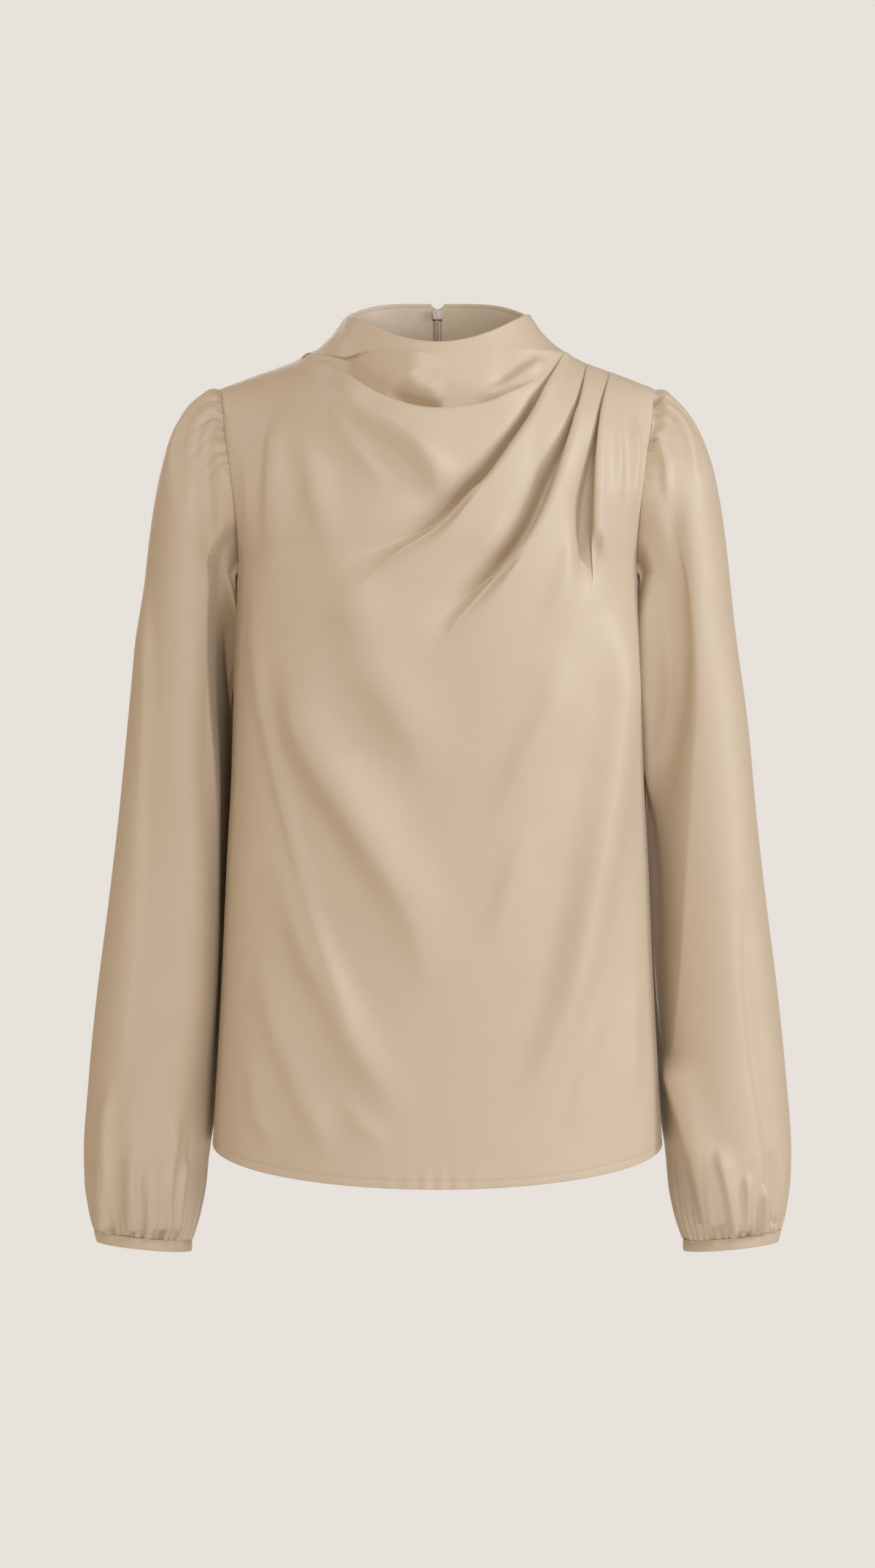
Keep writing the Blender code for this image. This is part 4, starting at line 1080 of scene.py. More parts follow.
def sleeve_rings(wearer_side):
    """The rings of a sleeve, each a loop of points, as on the wearer's left."""
    turn = np.arange(SLEEVE_SIDES) / SLEEVE_SIDES * 2 * math.pi
    across = np.sign(np.cos(turn)) * np.abs(np.cos(turn)) ** (2 / SLEEVE_ROUND)
    depth = np.sign(np.sin(turn)) * np.abs(np.sin(turn)) ** (2 / SLEEVE_ROUND)
    rows, places = sleeve_table()
    first = dict(zip(SLEEVE_COLUMNS, SLEEVE[0]))
    middle, arm, away = ring_frame(first)
    loop = armhole_loop(SLEEVE_SIDES) - middle
    loop_across = loop @ arm / (arm @ arm)
    loop_away = loop @ away + ARMHOLE_GAP
    loop_depth = -loop[:, 1] / np.where(loop[:, 1] < 0, first["front"], first["back"])
    rings = []
    for row in rows:
        own = row["own_shape"]
        middle, arm, away = ring_frame(row)
        p = loop_across * (1 - own) + across * own
        q = loop_depth * (1 - own) + depth * own
        ring = middle + p[:, None] * arm + (loop_away * (1 - own))[:, None] * away
        ring[:, 1] -= q * np.where(q > 0, row["front"], row["back"])
        ring[:, 1] += hollow_push(wearer_side, ring[:, 2], p, q)
        ring[:, 1] -= body_press(wearer_side, ring[:, 2], p, q)
        inwards = column(TUCK, TUCK_COLUMNS, "height", "inwards", ring[:, 2]) * ease(-p / TUCK_FROM)
        ring[:, 0] -= inwards * np.exp(-(((ring[:, 1] - TUCK_Y) / TUCK_WIDTH) ** 2))
        ring[:, 0] -= body_close(ring[:, 2], ring[:, 1], p)
        rings.append(ring)
    return np.array(rings), turn, places


def ring_normals(rings):
    """Outward normals of a tube of rings."""
    around = np.roll(rings, -1, axis=1) - np.roll(rings, 1, axis=1)
    along = np.gradient(rings, axis=0)
    normal = np.cross(around, along)
    normal /= np.maximum(np.linalg.norm(normal, axis=-1, keepdims=True), 1e-9)
    middle = rings.mean(axis=1, keepdims=True)
    facing = np.sum((rings - middle) * normal, axis=-1).mean()
    return normal if facing > 0 else -normal


def gather_lift(at, turn, places, radius, shift):
    """Valleys that run out from a gathered seam, sharp at the seam, of uneven depth, width and length."""
    lift = np.zeros((len(places), len(turn)))
    for values in GATHERS:
        row = dict(zip(GATHER_COLUMNS, values))
        if row["at"] != at:
            continue
        chance = np.random.default_rng(row["seed"] + shift)
        for i in range(row["count"]):
            span = row["to_turn"] - row["from_turn"]
            place = i + GATHER_PLACE_FROM + GATHER_PLACE_SPREAD * chance.random()
            centre = math.radians(row["from_turn"] + span * place / row["count"])
            depth = chance.uniform(row["depth_low"], row["depth_high"])
            reach_span = row["reach_high"] - row["reach_low"]
            length = row["reach_low"] + reach_span * chance.random() ** GATHER_LENGTH_POWER
            width = row["width"] * chance.uniform(*GATHER_WIDTHS)
            drift = chance.uniform(-GATHER_DRIFT, GATHER_DRIFT)
            gone = np.clip(places / length, 0, 1)
            start = ease(GATHER_START + (1 - GATHER_START) * places / row["flat_to"])
            profile = start * (1 - gone) ** GATHER_FADE_POWER
            gone = gone[:, None]
            off = np.angle(np.exp(1j * (turn[None, :] - centre - drift * gone)))
            spread = width * (GATHER_SPREAD_START + GATHER_SPREAD_GROWTH * gone)
            blunt = GATHER_CUSP_START + GATHER_CUSP_GROWTH * width * gone
            cusp = np.sqrt((off * radius[:, None]) ** 2 + blunt**2)
            lift -= depth * profile[:, None] * np.exp(-cusp / spread)
    return lift


def sleeve_cloth(wearer_side):
    rings, turn, places = sleeve_rings(wearer_side)
    normal = ring_normals(rings)
    x, z = rings[..., 0], rings[..., 2]
    front_share = ease(0.5 - normal[..., 1] * 1.6)
    lift = np.zeros(x.shape)
    for values in SLEEVE_FOLDS:
        fold = dict(zip(SLEEVE_FOLD_COLUMNS, values))
        if fold["wearer_side"] != wearer_side:
            continue
        facing = front_share if fold["face"] == "front" else 1 - front_share
        sizes = [fold[name] for name in SLEEVE_FOLD_COLUMNS[2:]]
        lift += soft_fold(*sizes, x, z) * facing
    sides = np.linalg.norm(np.diff(rings, axis=1, append=rings[:, :1]), axis=-1)
    radius = sides.sum(axis=1) / (2 * math.pi)
    shift = 0 if wearer_side == "left" else RIGHT_SEED_SHIFT
    lift += gather_lift("head", turn, places, radius, shift)
    from_cuff = places[-1] - places
    cuff_lift = gather_lift("cuff", turn, from_cuff, radius, shift)
    lift += cuff_lift - cuff_lift.mean(axis=1, keepdims=True)
    lift -= 0.4 * edge_dip(places)[:, None]
    lift -= 0.3 * np.exp(-((from_cuff / 0.8) ** 2))[:, None]
    shown = rings + normal * lift[..., None]
    allowance = shown[:1] - normal[:1] * SLEEVE_ALLOWANCE
    end = shown[-1:]
    middle = end.mean(axis=1, keepdims=True)
    tucked = [middle + (end - middle) * size + np.array([0, 0, -down]) for size, down, _ in SLEEVE_END]
    points = np.concatenate([allowance, shown] + tucked)
    mean_radius = np.concatenate([radius[:1], radius, radius[-1:], radius[-1:]])
    along = np.concatenate([[-SLEEVE_ALLOWANCE], places, [places[-1] + past for _, _, past in SLEEVE_END]])
    return points, tube_places(turn, np.maximum(mean_radius, 1).mean(), -along)


def tube_places(turn, radius, along):
    """Where a tube's points lie on its cloth laid flat, in metres, with one more column than the tube."""
    u = np.concatenate([turn, [2 * math.pi]]) * radius
    shape = (len(along), len(u))
    return np.stack([np.broadcast_to(u, shape), np.broadcast_to(along[:, None], shape)], axis=-1) * MM


def cuff_cloth():
    """A narrow doubled band, in section from its upper edge down the outside and up the inside."""
    row = dict(zip(SLEEVE_COLUMNS, SLEEVE[-1]))
    turn = np.arange(CUFF_SIDES) / CUFF_SIDES * 2 * math.pi
    middle_x = (row["outer_x"] + row["inner_x"]) / 2
    middle_z = (row["outer_z"] + row["inner_z"]) / 2
    rings = []
    wave = CUFF_WAVE * np.sin(17 * turn + 1.5 * np.sin(3 * turn))
    for down, out in CUFF_SECTION:
        share = down / CUFF_HEIGHT
        grow = CUFF_TOP_GROW + (CUFF_BOTTOM_GROW - CUFF_TOP_GROW) * share + out
        half_x = (row["outer_x"] - row["inner_x"]) / 2 + grow
        lift = wave * max(0, 1 - down / 5)
        x = middle_x + (half_x + lift) * np.cos(turn)
        y = row["middle_y"] - (row["front"] + grow + lift) * np.sin(turn)
        z = middle_z - down + half_x * np.cos(turn) * CUFF_TILT + CUFF_WAVE_UP * wave * max(0, 1 - down / 3)
        rings.append(np.stack([x - CUFF_TILT * down, y, z], axis=-1))
    points = np.array(rings)
    around_section = lengths_along(np.concatenate([points[:, 0], points[:1, 0]]))
    return points, tube_places(turn, CUFF_RADIUS, around_section)


# ---------------------------------------------------------------- meshes


def grid_faces(rows, cols, closed=False, closed_rows=False):
    """Corner indices of a grid's faces, in its points and in its flat places (which don't wrap round)."""
    row_steps = np.arange(rows - (0 if closed_rows else 1))
    col_steps = np.arange(cols - (0 if closed else 1))
    row, col = np.meshgrid(row_steps, col_steps, indexing="ij")
    corners = [(row, col), (row, col + 1), (row + 1, col + 1), (row + 1, col)]
    in_points = np.stack([(r % rows) * cols + c % cols for r, c in corners], axis=-1).reshape(-1, 4)
    flat_cols = cols + 1 if closed else cols
    in_flat = np.stack([r * flat_cols + c for r, c in corners], axis=-1).reshape(-1, 4)
    return in_points, in_flat


def cloth_mesh(name, points, flat, finish, closed=False, closed_rows=False, flip=False, body=BODY):
    """A smooth mesh on a grid of points, with its place on the flat cloth as a UV map in metres."""
    points = np.asarray(points)
    rows, cols = points.shape[:2]
    faces, flat_faces = grid_faces(rows, cols, closed, closed_rows)
    if flip:
        faces, flat_faces = faces[:, ::-1], flat_faces[:, ::-1]
    mesh = bpy.data.meshes.new(name)
    mesh.from_pydata((points.reshape(-1, 3) * MM).tolist(), [], faces.tolist())
    layer = mesh.uv_layers.new(name="cloth_uv")
    corners = flat.reshape(-1, 2)[flat_faces.reshape(-1)]
    layer.data.foreach_set("uv", corners.astype(np.float32).reshape(-1))
    mesh.shade_smooth()
    return add_piece(name, mesh, finish, body)


def add_piece(name, mesh, finish, body=BODY):
    made = bpy.data.objects.new(name, mesh)
    bpy.context.scene.collection.objects.link(made)
    mesh.materials.append(finish)
    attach(made, body)
    return made


def mirror(points):
    return points * np.array([-1, 1, 1])


def joined(parts):
    """Joins (points, faces) parts into one list of each."""
    all_points, all_faces, start = [], [], 0
    for points, faces in parts:
        all_points.append(points)
        all_faces += [[index + start for index in face] for face in faces]
        start += len(points)
    return np.concatenate(all_points), all_faces


def plain_mesh(name, points, faces, finish, body=BODY, smooth_faces=True):
    mesh = bpy.data.meshes.new(name)
    mesh.from_pydata((np.asarray(points) * MM).tolist(), [], faces)
    if smooth_faces:
        mesh.shade_smooth()
    return add_piece(name, mesh, finish, body)


# Each row of stitches: pitch, length and the thread's radius, and how far in behind the face it lies.
HEM_STITCH = (2.3, 1.5, 0.17)
CUFF_STITCH = (2.0, 1.3, 0.16)
NECK_STITCH = (2.6, 1.5, 0.16)
HEM_STITCH_DEPTH = -0.06
NECK_STITCH_DEPTH = 2.05 + 0.1
NECK_STITCH_DOWN = 2.2
STITCH_SIDES = 5
STITCH_SECTION = ((-1, 0), (-0.82, 0.62), (-0.35, 1), (0.35, 1), (0.82, 0.62), (1, 0))


def stitch(middle, along, out, length, radius):
    """One stitch: a short rounded thread lying along a line."""
    side = np.cross(along, out)
    turn = np.arange(STITCH_SIDES) / STITCH_SIDES * 2 * math.pi
    points, faces = [], []
    for place, share in STITCH_SECTION:
        centre = middle + along * place * length / 2 - out * radius * 1.1 * place**2
        if share == 0:
            points.append(centre[None])
        else:
            spokes = np.cos(turn)[:, None] * side + np.sin(turn)[:, None] * out
            points.append(centre + radius * share * spokes)
    points = np.concatenate(points)
    ring = [1 + STITCH_SIDES * i for i in range(len(STITCH_SECTION) - 2)]
    last = len(points) - 1
    for i in range(STITCH_SIDES):
        after = (i + 1) % STITCH_SIDES
        faces.append([0, ring[0] + after, ring[0] + i])
        faces.append([last, ring[-1] + i, ring[-1] + after])
        for lower, upper in zip(ring, ring[1:]):
            faces.append([lower + i, lower + after, upper + after, upper + i])
    return points, faces


def stitch_row(name, path, out, pitch, length, radius, finish, body=BODY):
    """A row of stitches along a path, lying on the cloth whose outward normals are given."""
    along = lengths_along(path)
    parts = []
    for place in np.arange(pitch / 2, along[-1], pitch):
        middle = read_path(place, along, path)
        normal = read_path(place, along, out)
        direction = read_path(place + pitch / 3, along, path) - read_path(place - pitch / 3, along, path)
        direction /= np.linalg.norm(direction)
        normal -= direction * (normal @ direction)
        normal /= np.linalg.norm(normal)
        parts.append(stitch(middle, direction, normal, length, radius))
    points, faces = joined(parts)
    return plain_mesh(name, points, faces, finish, body)


# ---------------------------------------------------------------- finishes

# The two directions of the twill, in degrees from the cloth's width, and how strong each one is.
TWILL = ((37, 1.0), (-37, 0.85))
TWILL_IN_TONE = 0.25
SLUB_SCALE = 900.0
DRAPE_SCALE = 26.0
DRAPE_HEIGHT = 0.0012
CLOTH_ROUGHNESS = (0.42, 0.54)
SHEEN_TINT = (1.0, 0.93, 0.84, 1)


def node(tree, kind, **settings):
    made = tree.nodes.new(kind)
    for name, value in settings.items():
        setattr(made, name, value)
    return made


def set_inputs(made, **values):
    for name, value in values.items():
        made.inputs[name.replace("_", " ")].default_value = value


def wave_scale(period):
    """The Wave texture's scale for a period in metres."""
    return 2 * math.pi / (20 * period)


def new_finish(name, colour):
    """A material, its node tree, its shader and the way to link its nodes."""
    made = bpy.data.materials.new(name)
    made.use_nodes = True
    made.diffuse_color = (*colour, 1)
    tree = made.node_tree
    return made, tree, tree.nodes["Principled BSDF"], tree.links.new


def tone_between(tree, dark, colour, low, high):
    """A ramp from the dark tone to the full colour."""
    tone = node(tree, "ShaderNodeValToRGB")
    first, last = tone.color_ramp.elements
    first.position, first.color = low, (*dark, 1)
    last.position, last.color = high, (*colour, 1)
    return tone


def rough_between(tree, source, shader, low, high):
    """Roughness that follows a texture between two values."""
    rough = node(tree, "ShaderNodeMapRange")
    set_inputs(rough, To_Min=low, To_Max=high)
    tree.links.new(source, rough.inputs["Value"])
    tree.links.new(rough.outputs["Result"], shader.inputs["Roughness"])


def twill_bands(tree, flat, angle, period, weight):
    """Wavy bands across the flat cloth, at an angle to its length."""
    link = tree.links.new
    turn = node(tree, "ShaderNodeMapping")
    turn.inputs["Rotation"].default_value = (0, 0, math.radians(angle))
    wave = node(tree, "ShaderNodeTexWave", wave_type="BANDS", bands_direction="X")
    set_inputs(wave, Scale=wave_scale(period), Distortion=0.6, Detail=1.0, Detail_Scale=1.5)
    scale = node(tree, "ShaderNodeMath", operation="MULTIPLY")
    scale.inputs[1].default_value = weight
    link(flat.outputs["UV"], turn.inputs["Vector"])
    link(turn.outputs["Vector"], wave.inputs["Vector"])
    link(wave.outputs["Fac"], scale.inputs[0])
    return scale.outputs[0]


def added(tree, first, second):
    add = node(tree, "ShaderNodeMath", operation="ADD")
    tree.links.new(first, add.inputs[0])
    tree.links.new(second, add.inputs[1])
    return add.outputs[0]


def cloth_finish(name, colour, dark, twill_period, twill_height, sheen):
    """Crepe-backed satin: a fine twill with a slub, uneven tone and a soft sheen."""
    made, tree, shader, link = new_finish(name, colour)
    flat = node(tree, "ShaderNodeUVMap", uv_map="cloth_uv")
    twill = added(tree, *[twill_bands(tree, flat, angle, twill_period, weight) for angle, weight in TWILL])
    slub = node(tree, "ShaderNodeTexNoise", noise_dimensions="2D")
    set_inputs(slub, Scale=SLUB_SCALE, Detail=2.0, Roughness=0.6)
    link(flat.outputs["UV"], slub.inputs["Vector"])

    coordinates = node(tree, "ShaderNodeTexCoord")
    drape = node(tree, "ShaderNodeTexNoise", noise_dimensions="3D")
    set_inputs(drape, Scale=DRAPE_SCALE, Detail=3.0, Roughness=0.5)
    link(coordinates.outputs["Object"], drape.inputs["Vector"])
    soft = node(tree, "ShaderNodeBump")
    set_inputs(soft, Strength=0.5, Distance=DRAPE_HEIGHT)
    link(drape.outputs["Fac"], soft.inputs["Height"])
    weave = node(tree, "ShaderNodeBump")
    set_inputs(weave, Strength=0.6, Distance=twill_height)
    link(added(tree, twill, slub.outputs["Fac"]), weave.inputs["Height"])
    link(soft.outputs["Normal"], weave.inputs["Normal"])
    link(weave.outputs["Normal"], shader.inputs["Normal"])

    tone = tone_between(tree, dark, colour, 0.2, 0.75)
    mix = node(tree, "ShaderNodeMath", operation="MULTIPLY_ADD")
    mix.inputs[1].default_value = TWILL_IN_TONE
    link(twill, mix.inputs[0])
    link(drape.outputs["Fac"], mix.inputs[2])
    link(mix.outputs[0], tone.inputs["Fac"])
    link(tone.outputs["Color"], shader.inputs["Base Color"])
    rough_between(tree, slub.outputs["Fac"], shader, *CLOTH_ROUGHNESS)
    set_inputs(shader, Specular_IOR_Level=0.5, Sheen_Weight=sheen)
    set_inputs(shader, Sheen_Roughness=0.45, Sheen_Tint=SHEEN_TINT)
    return made


def solid_finish(name, colour, dark, noise_scale, roughness, bump, sheen=0.0):
    """Thread, nylon, enamel or floor paint: a noise in tone, roughness and bump."""
    made, tree, shader, link = new_finish(name, colour)
    coordinates = node(tree, "ShaderNodeTexCoord")
    noise = node(tree, "ShaderNodeTexNoise", noise_dimensions="3D")
    set_inputs(noise, Scale=noise_scale, Detail=2.0)
    link(coordinates.outputs["Object"], noise.inputs["Vector"])
    tone = tone_between(tree, dark, colour, 0.3, 0.7)
    link(noise.outputs["Fac"], tone.inputs["Fac"])
    link(tone.outputs["Color"], shader.inputs["Base Color"])
    rough_between(tree, noise.outputs["Fac"], shader, roughness - 0.06, roughness + 0.06)
    surface = node(tree, "ShaderNodeBump")
    set_inputs(surface, Strength=0.4, Distance=bump)
    link(noise.outputs["Fac"], surface.inputs["Height"])
    link(surface.outputs["Normal"], shader.inputs["Normal"])
    set_inputs(shader, Sheen_Weight=sheen)
    return made


# ---------------------------------------------------------------- zip


def coil_path(sign, steps=700):
    """Down the tape's edge, from the notch to the end of the zip."""
    low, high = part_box("zip_coil_left")
    z = np.linspace(high[2] / MM - 0.6, low[2] / MM + 0.6, steps)
    depth = WALL + CLEAR + TAPE_WALL + CLEAR + 1.0
    return panel_points("back", np.full_like(z, sign * COIL_OFFSET), z, depth)


def coil_wire(name, sign, finish):
    """A nylon wire wound into the zip's teeth."""
    path = coil_path(sign)
    along = lengths_along(path)
    count = int(along[-1] / COIL_PITCH * COIL_STEPS_PER_TURN)
    places = np.linspace(0, along[-1], count)
    turn = sign * 2 * math.pi * places / COIL_PITCH
    circle = [COIL_RADIUS * np.cos(turn), COIL_RADIUS * COIL_FLATNESS * np.sin(turn), np.zeros(count)]
    wire = read_path(places, along, path) + np.stack(circle, axis=-1)
    tangent = np.gradient(wire, axis=0)
    tangent /= np.linalg.norm(tangent, axis=1, keepdims=True)
    side = np.cross(tangent, [0, 0, 1.0])
    side /= np.linalg.norm(side, axis=1, keepdims=True)
    other = np.cross(tangent, side)
    around = np.arange(WIRE_SIDES) / WIRE_SIDES * 2 * math.pi
    spokes = np.cos(around)[None, :, None] * side[:, None] + np.sin(around)[None, :, None] * other[:, None]
    points = wire[:, None] + WIRE_RADIUS * spokes
    faces, _ = grid_faces(count, WIRE_SIDES, closed=True)
    faces = faces.tolist()
    faces.append(list(range(WIRE_SIDES))[::-1])
    faces.append(list(range((count - 1) * WIRE_SIDES, count * WIRE_SIDES)))
    return plain_mesh(name, points.reshape(-1, 3), faces, finish)


def tape_cloth(sign):
    """The woven tape behind the back panel's edge."""
    low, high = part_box("zip_tape_left")
    z = np.linspace(low[2] / MM, high[2] / MM - 0.4, 90)
    inset = np.linspace(0, 1, 9)
    start = centre_back_gap(z) - SEAM_HALF
    x = start[:, None] + (TAPE_WIDTH - start[:, None]) * inset
    zz = np.broadcast_to(z[:, None], x.shape)
    outer = panel_points("back", sign * x, zz, WALL + CLEAR)
    inner = panel_points("back", sign * x, zz, WALL + CLEAR + TAPE_WALL * 0.7)
    points = np.concatenate([outer, inner[:, ::-1]], axis=1)
    whole = np.full((len(x), 1), 2.0 * TAPE_WIDTH)
    width = np.concatenate([x, 2 * TAPE_WIDTH - x[:, ::-1], whole], axis=1)
    flat = np.stack([width, np.broadcast_to(z[:, None], width.shape)], axis=-1) * MM
    return points, flat


def slab(outline, inner_scale, y_low, y_high, edge):
    """A flat piece in the XZ plane with softened edges, from an outline of (x, z) points."""
    outline = np.asarray(outline, float)
    middle = outline.mean(axis=0)
    small = middle + (outline - middle) * inner_scale
    levels = ((small, y_low), (outline, y_low + edge), (outline, y_high - edge), (small, y_high))
    points = np.concatenate([
        np.stack([ring[:, 0], np.full(len(ring), y), ring[:, 1]], axis=-1) for ring, y in levels
    ])
    count = len(outline)
    faces = []
    for level in range(len(levels) - 1):
        for i in range(count):
            after = (i + 1) % count
            a, b = level * count + i, level * count + after
            faces.append([a, b, b + count, a + count])
    faces.append(list(range(count))[::-1])
    faces.append(list(range((len(levels) - 1) * count, len(levels) * count)))
    return points, faces


def fine_outline(corners, per_side=6, roundness=0.18):
    """A closed outline through corners, each rounded off."""
    corners = np.asarray(corners, float)
    points = []
    for i in range(len(corners)):
        before, here, after = corners[i - 1], corners[i], corners[(i + 1) % len(corners)]
        start = here + (before - here) * roundness
        end = here + (after - here) * roundness
        for t in np.linspace(0, 1, per_side):
            points.append((1 - t) ** 2 * start + 2 * t * (1 - t) * here + t * t * end)
    return np.array(points)


def slider_piece(finish):
    """The slider's two plates with the wedge between them, and the bridge that carries the pull."""
    outer = float(surface_y("back", np.array(0.0), np.array(PULL_AXIS_Z)))
    near = outer - WALL - SLIDER_CLEAR - SLIDER_DEPTH
    low_half, mid_half, top_half = (half for half, _ in SLIDER_OUTLINE)
    low, mid, top = (z for _, z in SLIDER_OUTLINE)
    corners = [(-low_half, low), (low_half, low), (mid_half, mid), (top_half, top),
               (0, top - 1.1), (-top_half, top), (-mid_half, mid)]
    plate = fine_outline(corners)
    parts = [slab(plate, 0.9, near, near + 1.3, 0.4), slab(plate, 0.9, near + 2.7, near + SLIDER_DEPTH, 0.4)]
    wedge = fine_outline([(-1.0, low + 2.5), (1.0, low + 2.5), (1.2, top - 2), (0, top - 1.3),
                          (-1.2, top - 2)])
    parts.append(slab(wedge, 0.95, near + 1.1, near + 2.9, 0.1))
    ridge = fine_outline([(-0.9, low + 1.6), (0.9, low + 1.6), (1.1, mid), (0, top - 2.0), (-1.1, mid)])
    parts.append(slab(ridge, 0.75, near - 0.25, near + 0.5, 0.2))
    for side in (-1, 1):
        rail = fine_outline([(side * (low_half - 0.1), low + 0.6), (side * (low_half - 0.6), low + 0.6),
                             (side * (mid_half - 0.8), mid), (side * (mid_half - 0.15), mid)][::side])
        parts.append(slab(rail, 0.9, near + 1.1, near + 1.9, 0.1))
    eye_y = outer + PULL_AXIS_OUT
    parts.append(bridge_loop(eye_y, near + SLIDER_DEPTH - 0.5))
    points, faces = joined(parts)
    made = plain_mesh("slider_body", points, faces, finish)
    soften(made, 0.12)
    return made


def round_the_eye(eye_y, root_y, half):
    """A line out from the slider, round the eye at a half height, and back to the slider."""
    turns = np.linspace(-math.pi / 2, math.pi / 2, BRIDGE_STEPS)[1:-1]
    line = [(root_y, PULL_AXIS_Z - half), (eye_y, PULL_AXIS_Z - half)]
    line += [(eye_y + half * math.cos(a), PULL_AXIS_Z + half * math.sin(a)) for a in turns]
    return line + [(eye_y, PULL_AXIS_Z + half), (root_y, PULL_AXIS_Z + half)]


def bridge_loop(eye_y, root_y):
    """A strap bent out from the slider round the eye, in section a rectangle."""
    outside = round_the_eye(eye_y, root_y, EYE_HALF + BRIDGE_RING)
    hole = round_the_eye(eye_y, root_y, EYE_HALF)
    count = len(outside)
    points = []
    for line in (outside, hole):
        for x in (-BRIDGE_HALF_WIDTH, BRIDGE_HALF_WIDTH):
            points += [(x, y, z) for y, z in line]
    faces = []
    for i in range(count - 1):
        a, b = i, i + 1
        faces.append([a, b, count + b, count + a])
        faces.append([2 * count + b, 2 * count + a, 3 * count + a, 3 * count + b])
        faces.append([b, a, 2 * count + a, 2 * count + b])
        faces.append([count + a, count + b, 3 * count + b, 3 * count + a])
    faces.append([0, count, 3 * count, 2 * count])
    faces.append([count - 1, 3 * count - 1, 4 * count - 1, 2 * count - 1])
    return np.array(points, float), faces


def soften(made, width):
    """Rounds a hard piece's edges."""
    rounded = made.modifiers.new("soft_edges", "BEVEL")
    rounded.width = width * MM
    rounded.segments = 2
    rounded.limit_method = "ANGLE"
    made.data.shade_flat()


def pull_piece(finish):
    """The pull tab: a plate thinner along its rim. It has no slot, so the bridge passes through it."""
    outer = float(surface_y("back", np.array(0.0), np.array(PULL_AXIS_Z)))
    down = np.linspace(PULL_OUTLINE[0][0], PULL_OUTLINE[-1][0], PULL_STEPS)
    half = column(PULL_OUTLINE, PULL_COLUMNS, "down", "half_width", down)
    rim = np.array([(h, -z) for h, z in zip(half, down)] + [(-h, -z) for h, z in zip(half, down)][::-1])
    middle_line = np.stack([np.zeros(len(rim)), rim[:, 1]], axis=-1)
    inner = middle_line + (rim - middle_line) * PULL_FACE_SHARE
    centre_y = outer + PULL_AXIS_OUT
    half_thick = PULL_THICKNESS / 2
    rim_thick = half_thick * PULL_RIM_SHARE
    shape = bmesh.new()
    loops = []
    for line, y in ((rim, -rim_thick), (rim, rim_thick), (inner, -half_thick), (inner, half_thick)):
        places = [(x * MM, (centre_y + y) * MM, (PULL_AXIS_Z + z) * MM) for x, z in line]
        loops.append([shape.verts.new(place) for place in places])
    count = len(rim)
    for a, b in ((0, 1), (2, 0), (1, 3)):
        for i in range(count):
            after = (i + 1) % count
            shape.faces.new((loops[a][i], loops[a][after], loops[b][after], loops[b][i]))
    for loop in loops[2:]:
        for i in range(count // 2 - 1):
            shape.faces.new((loop[i], loop[i + 1], loop[count - 2 - i], loop[count - 1 - i]))
    bmesh.ops.recalc_face_normals(shape, faces=shape.faces)
    mesh = bpy.data.meshes.new("pull_tab")
    shape.to_mesh(mesh)
    shape.free()
    return add_piece("pull_tab", mesh, finish, PULL_BODY)


# ---------------------------------------------------------------- building

BACKGROUND = (0.799, 0.760, 0.708, 1)
SURROUND_COLOUR = (1.0, 0.67, 0.41, 1)
SURROUND_STRENGTH = 0.325
KEY_COLOUR = (0.93, 1.0, 1.13)
FILL_COLOUR = (0.97, 1.0, 1.02)
LIGHT_AIM = (0, 0, -0.3)
# Each light's name, place in metres, width in metres, power in watts and colour.
LIGHTS = (
    ("side_key", (2.72, -0.73, 0.75), 1.0, 31.5, KEY_COLOUR),
    ("half_key", (2.1, -2.1, 0.0), 1.0, 7.0, KEY_COLOUR),
    ("front_key", (0.64, -2.37, 1.42), 1.0, 20.5, KEY_COLOUR),
    ("low_fill", (0.7, -2.6, -1.5), 1.1, 10.0, KEY_COLOUR),
    ("left_rim", (-2.4, 0.65, 1.4), 1.0, 9.0, FILL_COLOUR),
    ("left_fill", (-2.9, -0.8, 0.0), 1.2, 8.0, FILL_COLOUR),
    ("chest_fill", (-1.0, -2.1, 0.2), 0.8, 5.0, FILL_COLOUR),
    ("back_fill", (-0.5, 3.0, 0.7), 1.6, 30.0, KEY_COLOUR),
)
CAMERA_LENS = 115.5
CAMERA_PLACE = (0, -4.0, -0.339)
FLOOR_SIDES = 96
FLOOR_RADIUS = 0.9
FLOOR_HEIGHT = -1.15
FLOOR_PAINT = ((0.88, 0.86, 0.83), (0.86, 0.84, 0.81), 4, 0.7, 0.0005)


def build_cloth(cloth, tape):
    front = cloth_mesh("front_cloth", *front_cloth(), cloth)
    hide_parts("front_panel")
    pieces = {"front": front}
    for side, sign in (("left", 1), ("right", -1)):
        other = side == "right"
        back = cloth_mesh("back_cloth_" + side, *back_cloth(sign), cloth, flip=not other)
        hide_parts("back_" + side)
        points, flat = sleeve_cloth(side)
        points = mirror(points) if other else points
        sleeve = cloth_mesh("sleeve_cloth_" + side, points, flat, cloth, closed=True, flip=other)
        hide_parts("sleeve_" + side)
        points, flat = cuff_cloth()
        points = mirror(points) if other else points
        cuff = cloth_mesh("cuff_band_" + side, points, flat, cloth, closed=True, closed_rows=True, flip=other)
        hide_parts("cuff_" + side)
        strip = cloth_mesh("zip_tape_cloth_" + side, *tape_cloth(sign), tape, closed=True, flip=not other)
        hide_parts("zip_tape_" + side)
        pieces.update({"back_" + side: back, "sleeve_" + side: sleeve, "cuff_" + side: cuff,
                       "tape_" + side: strip})
    return pieces


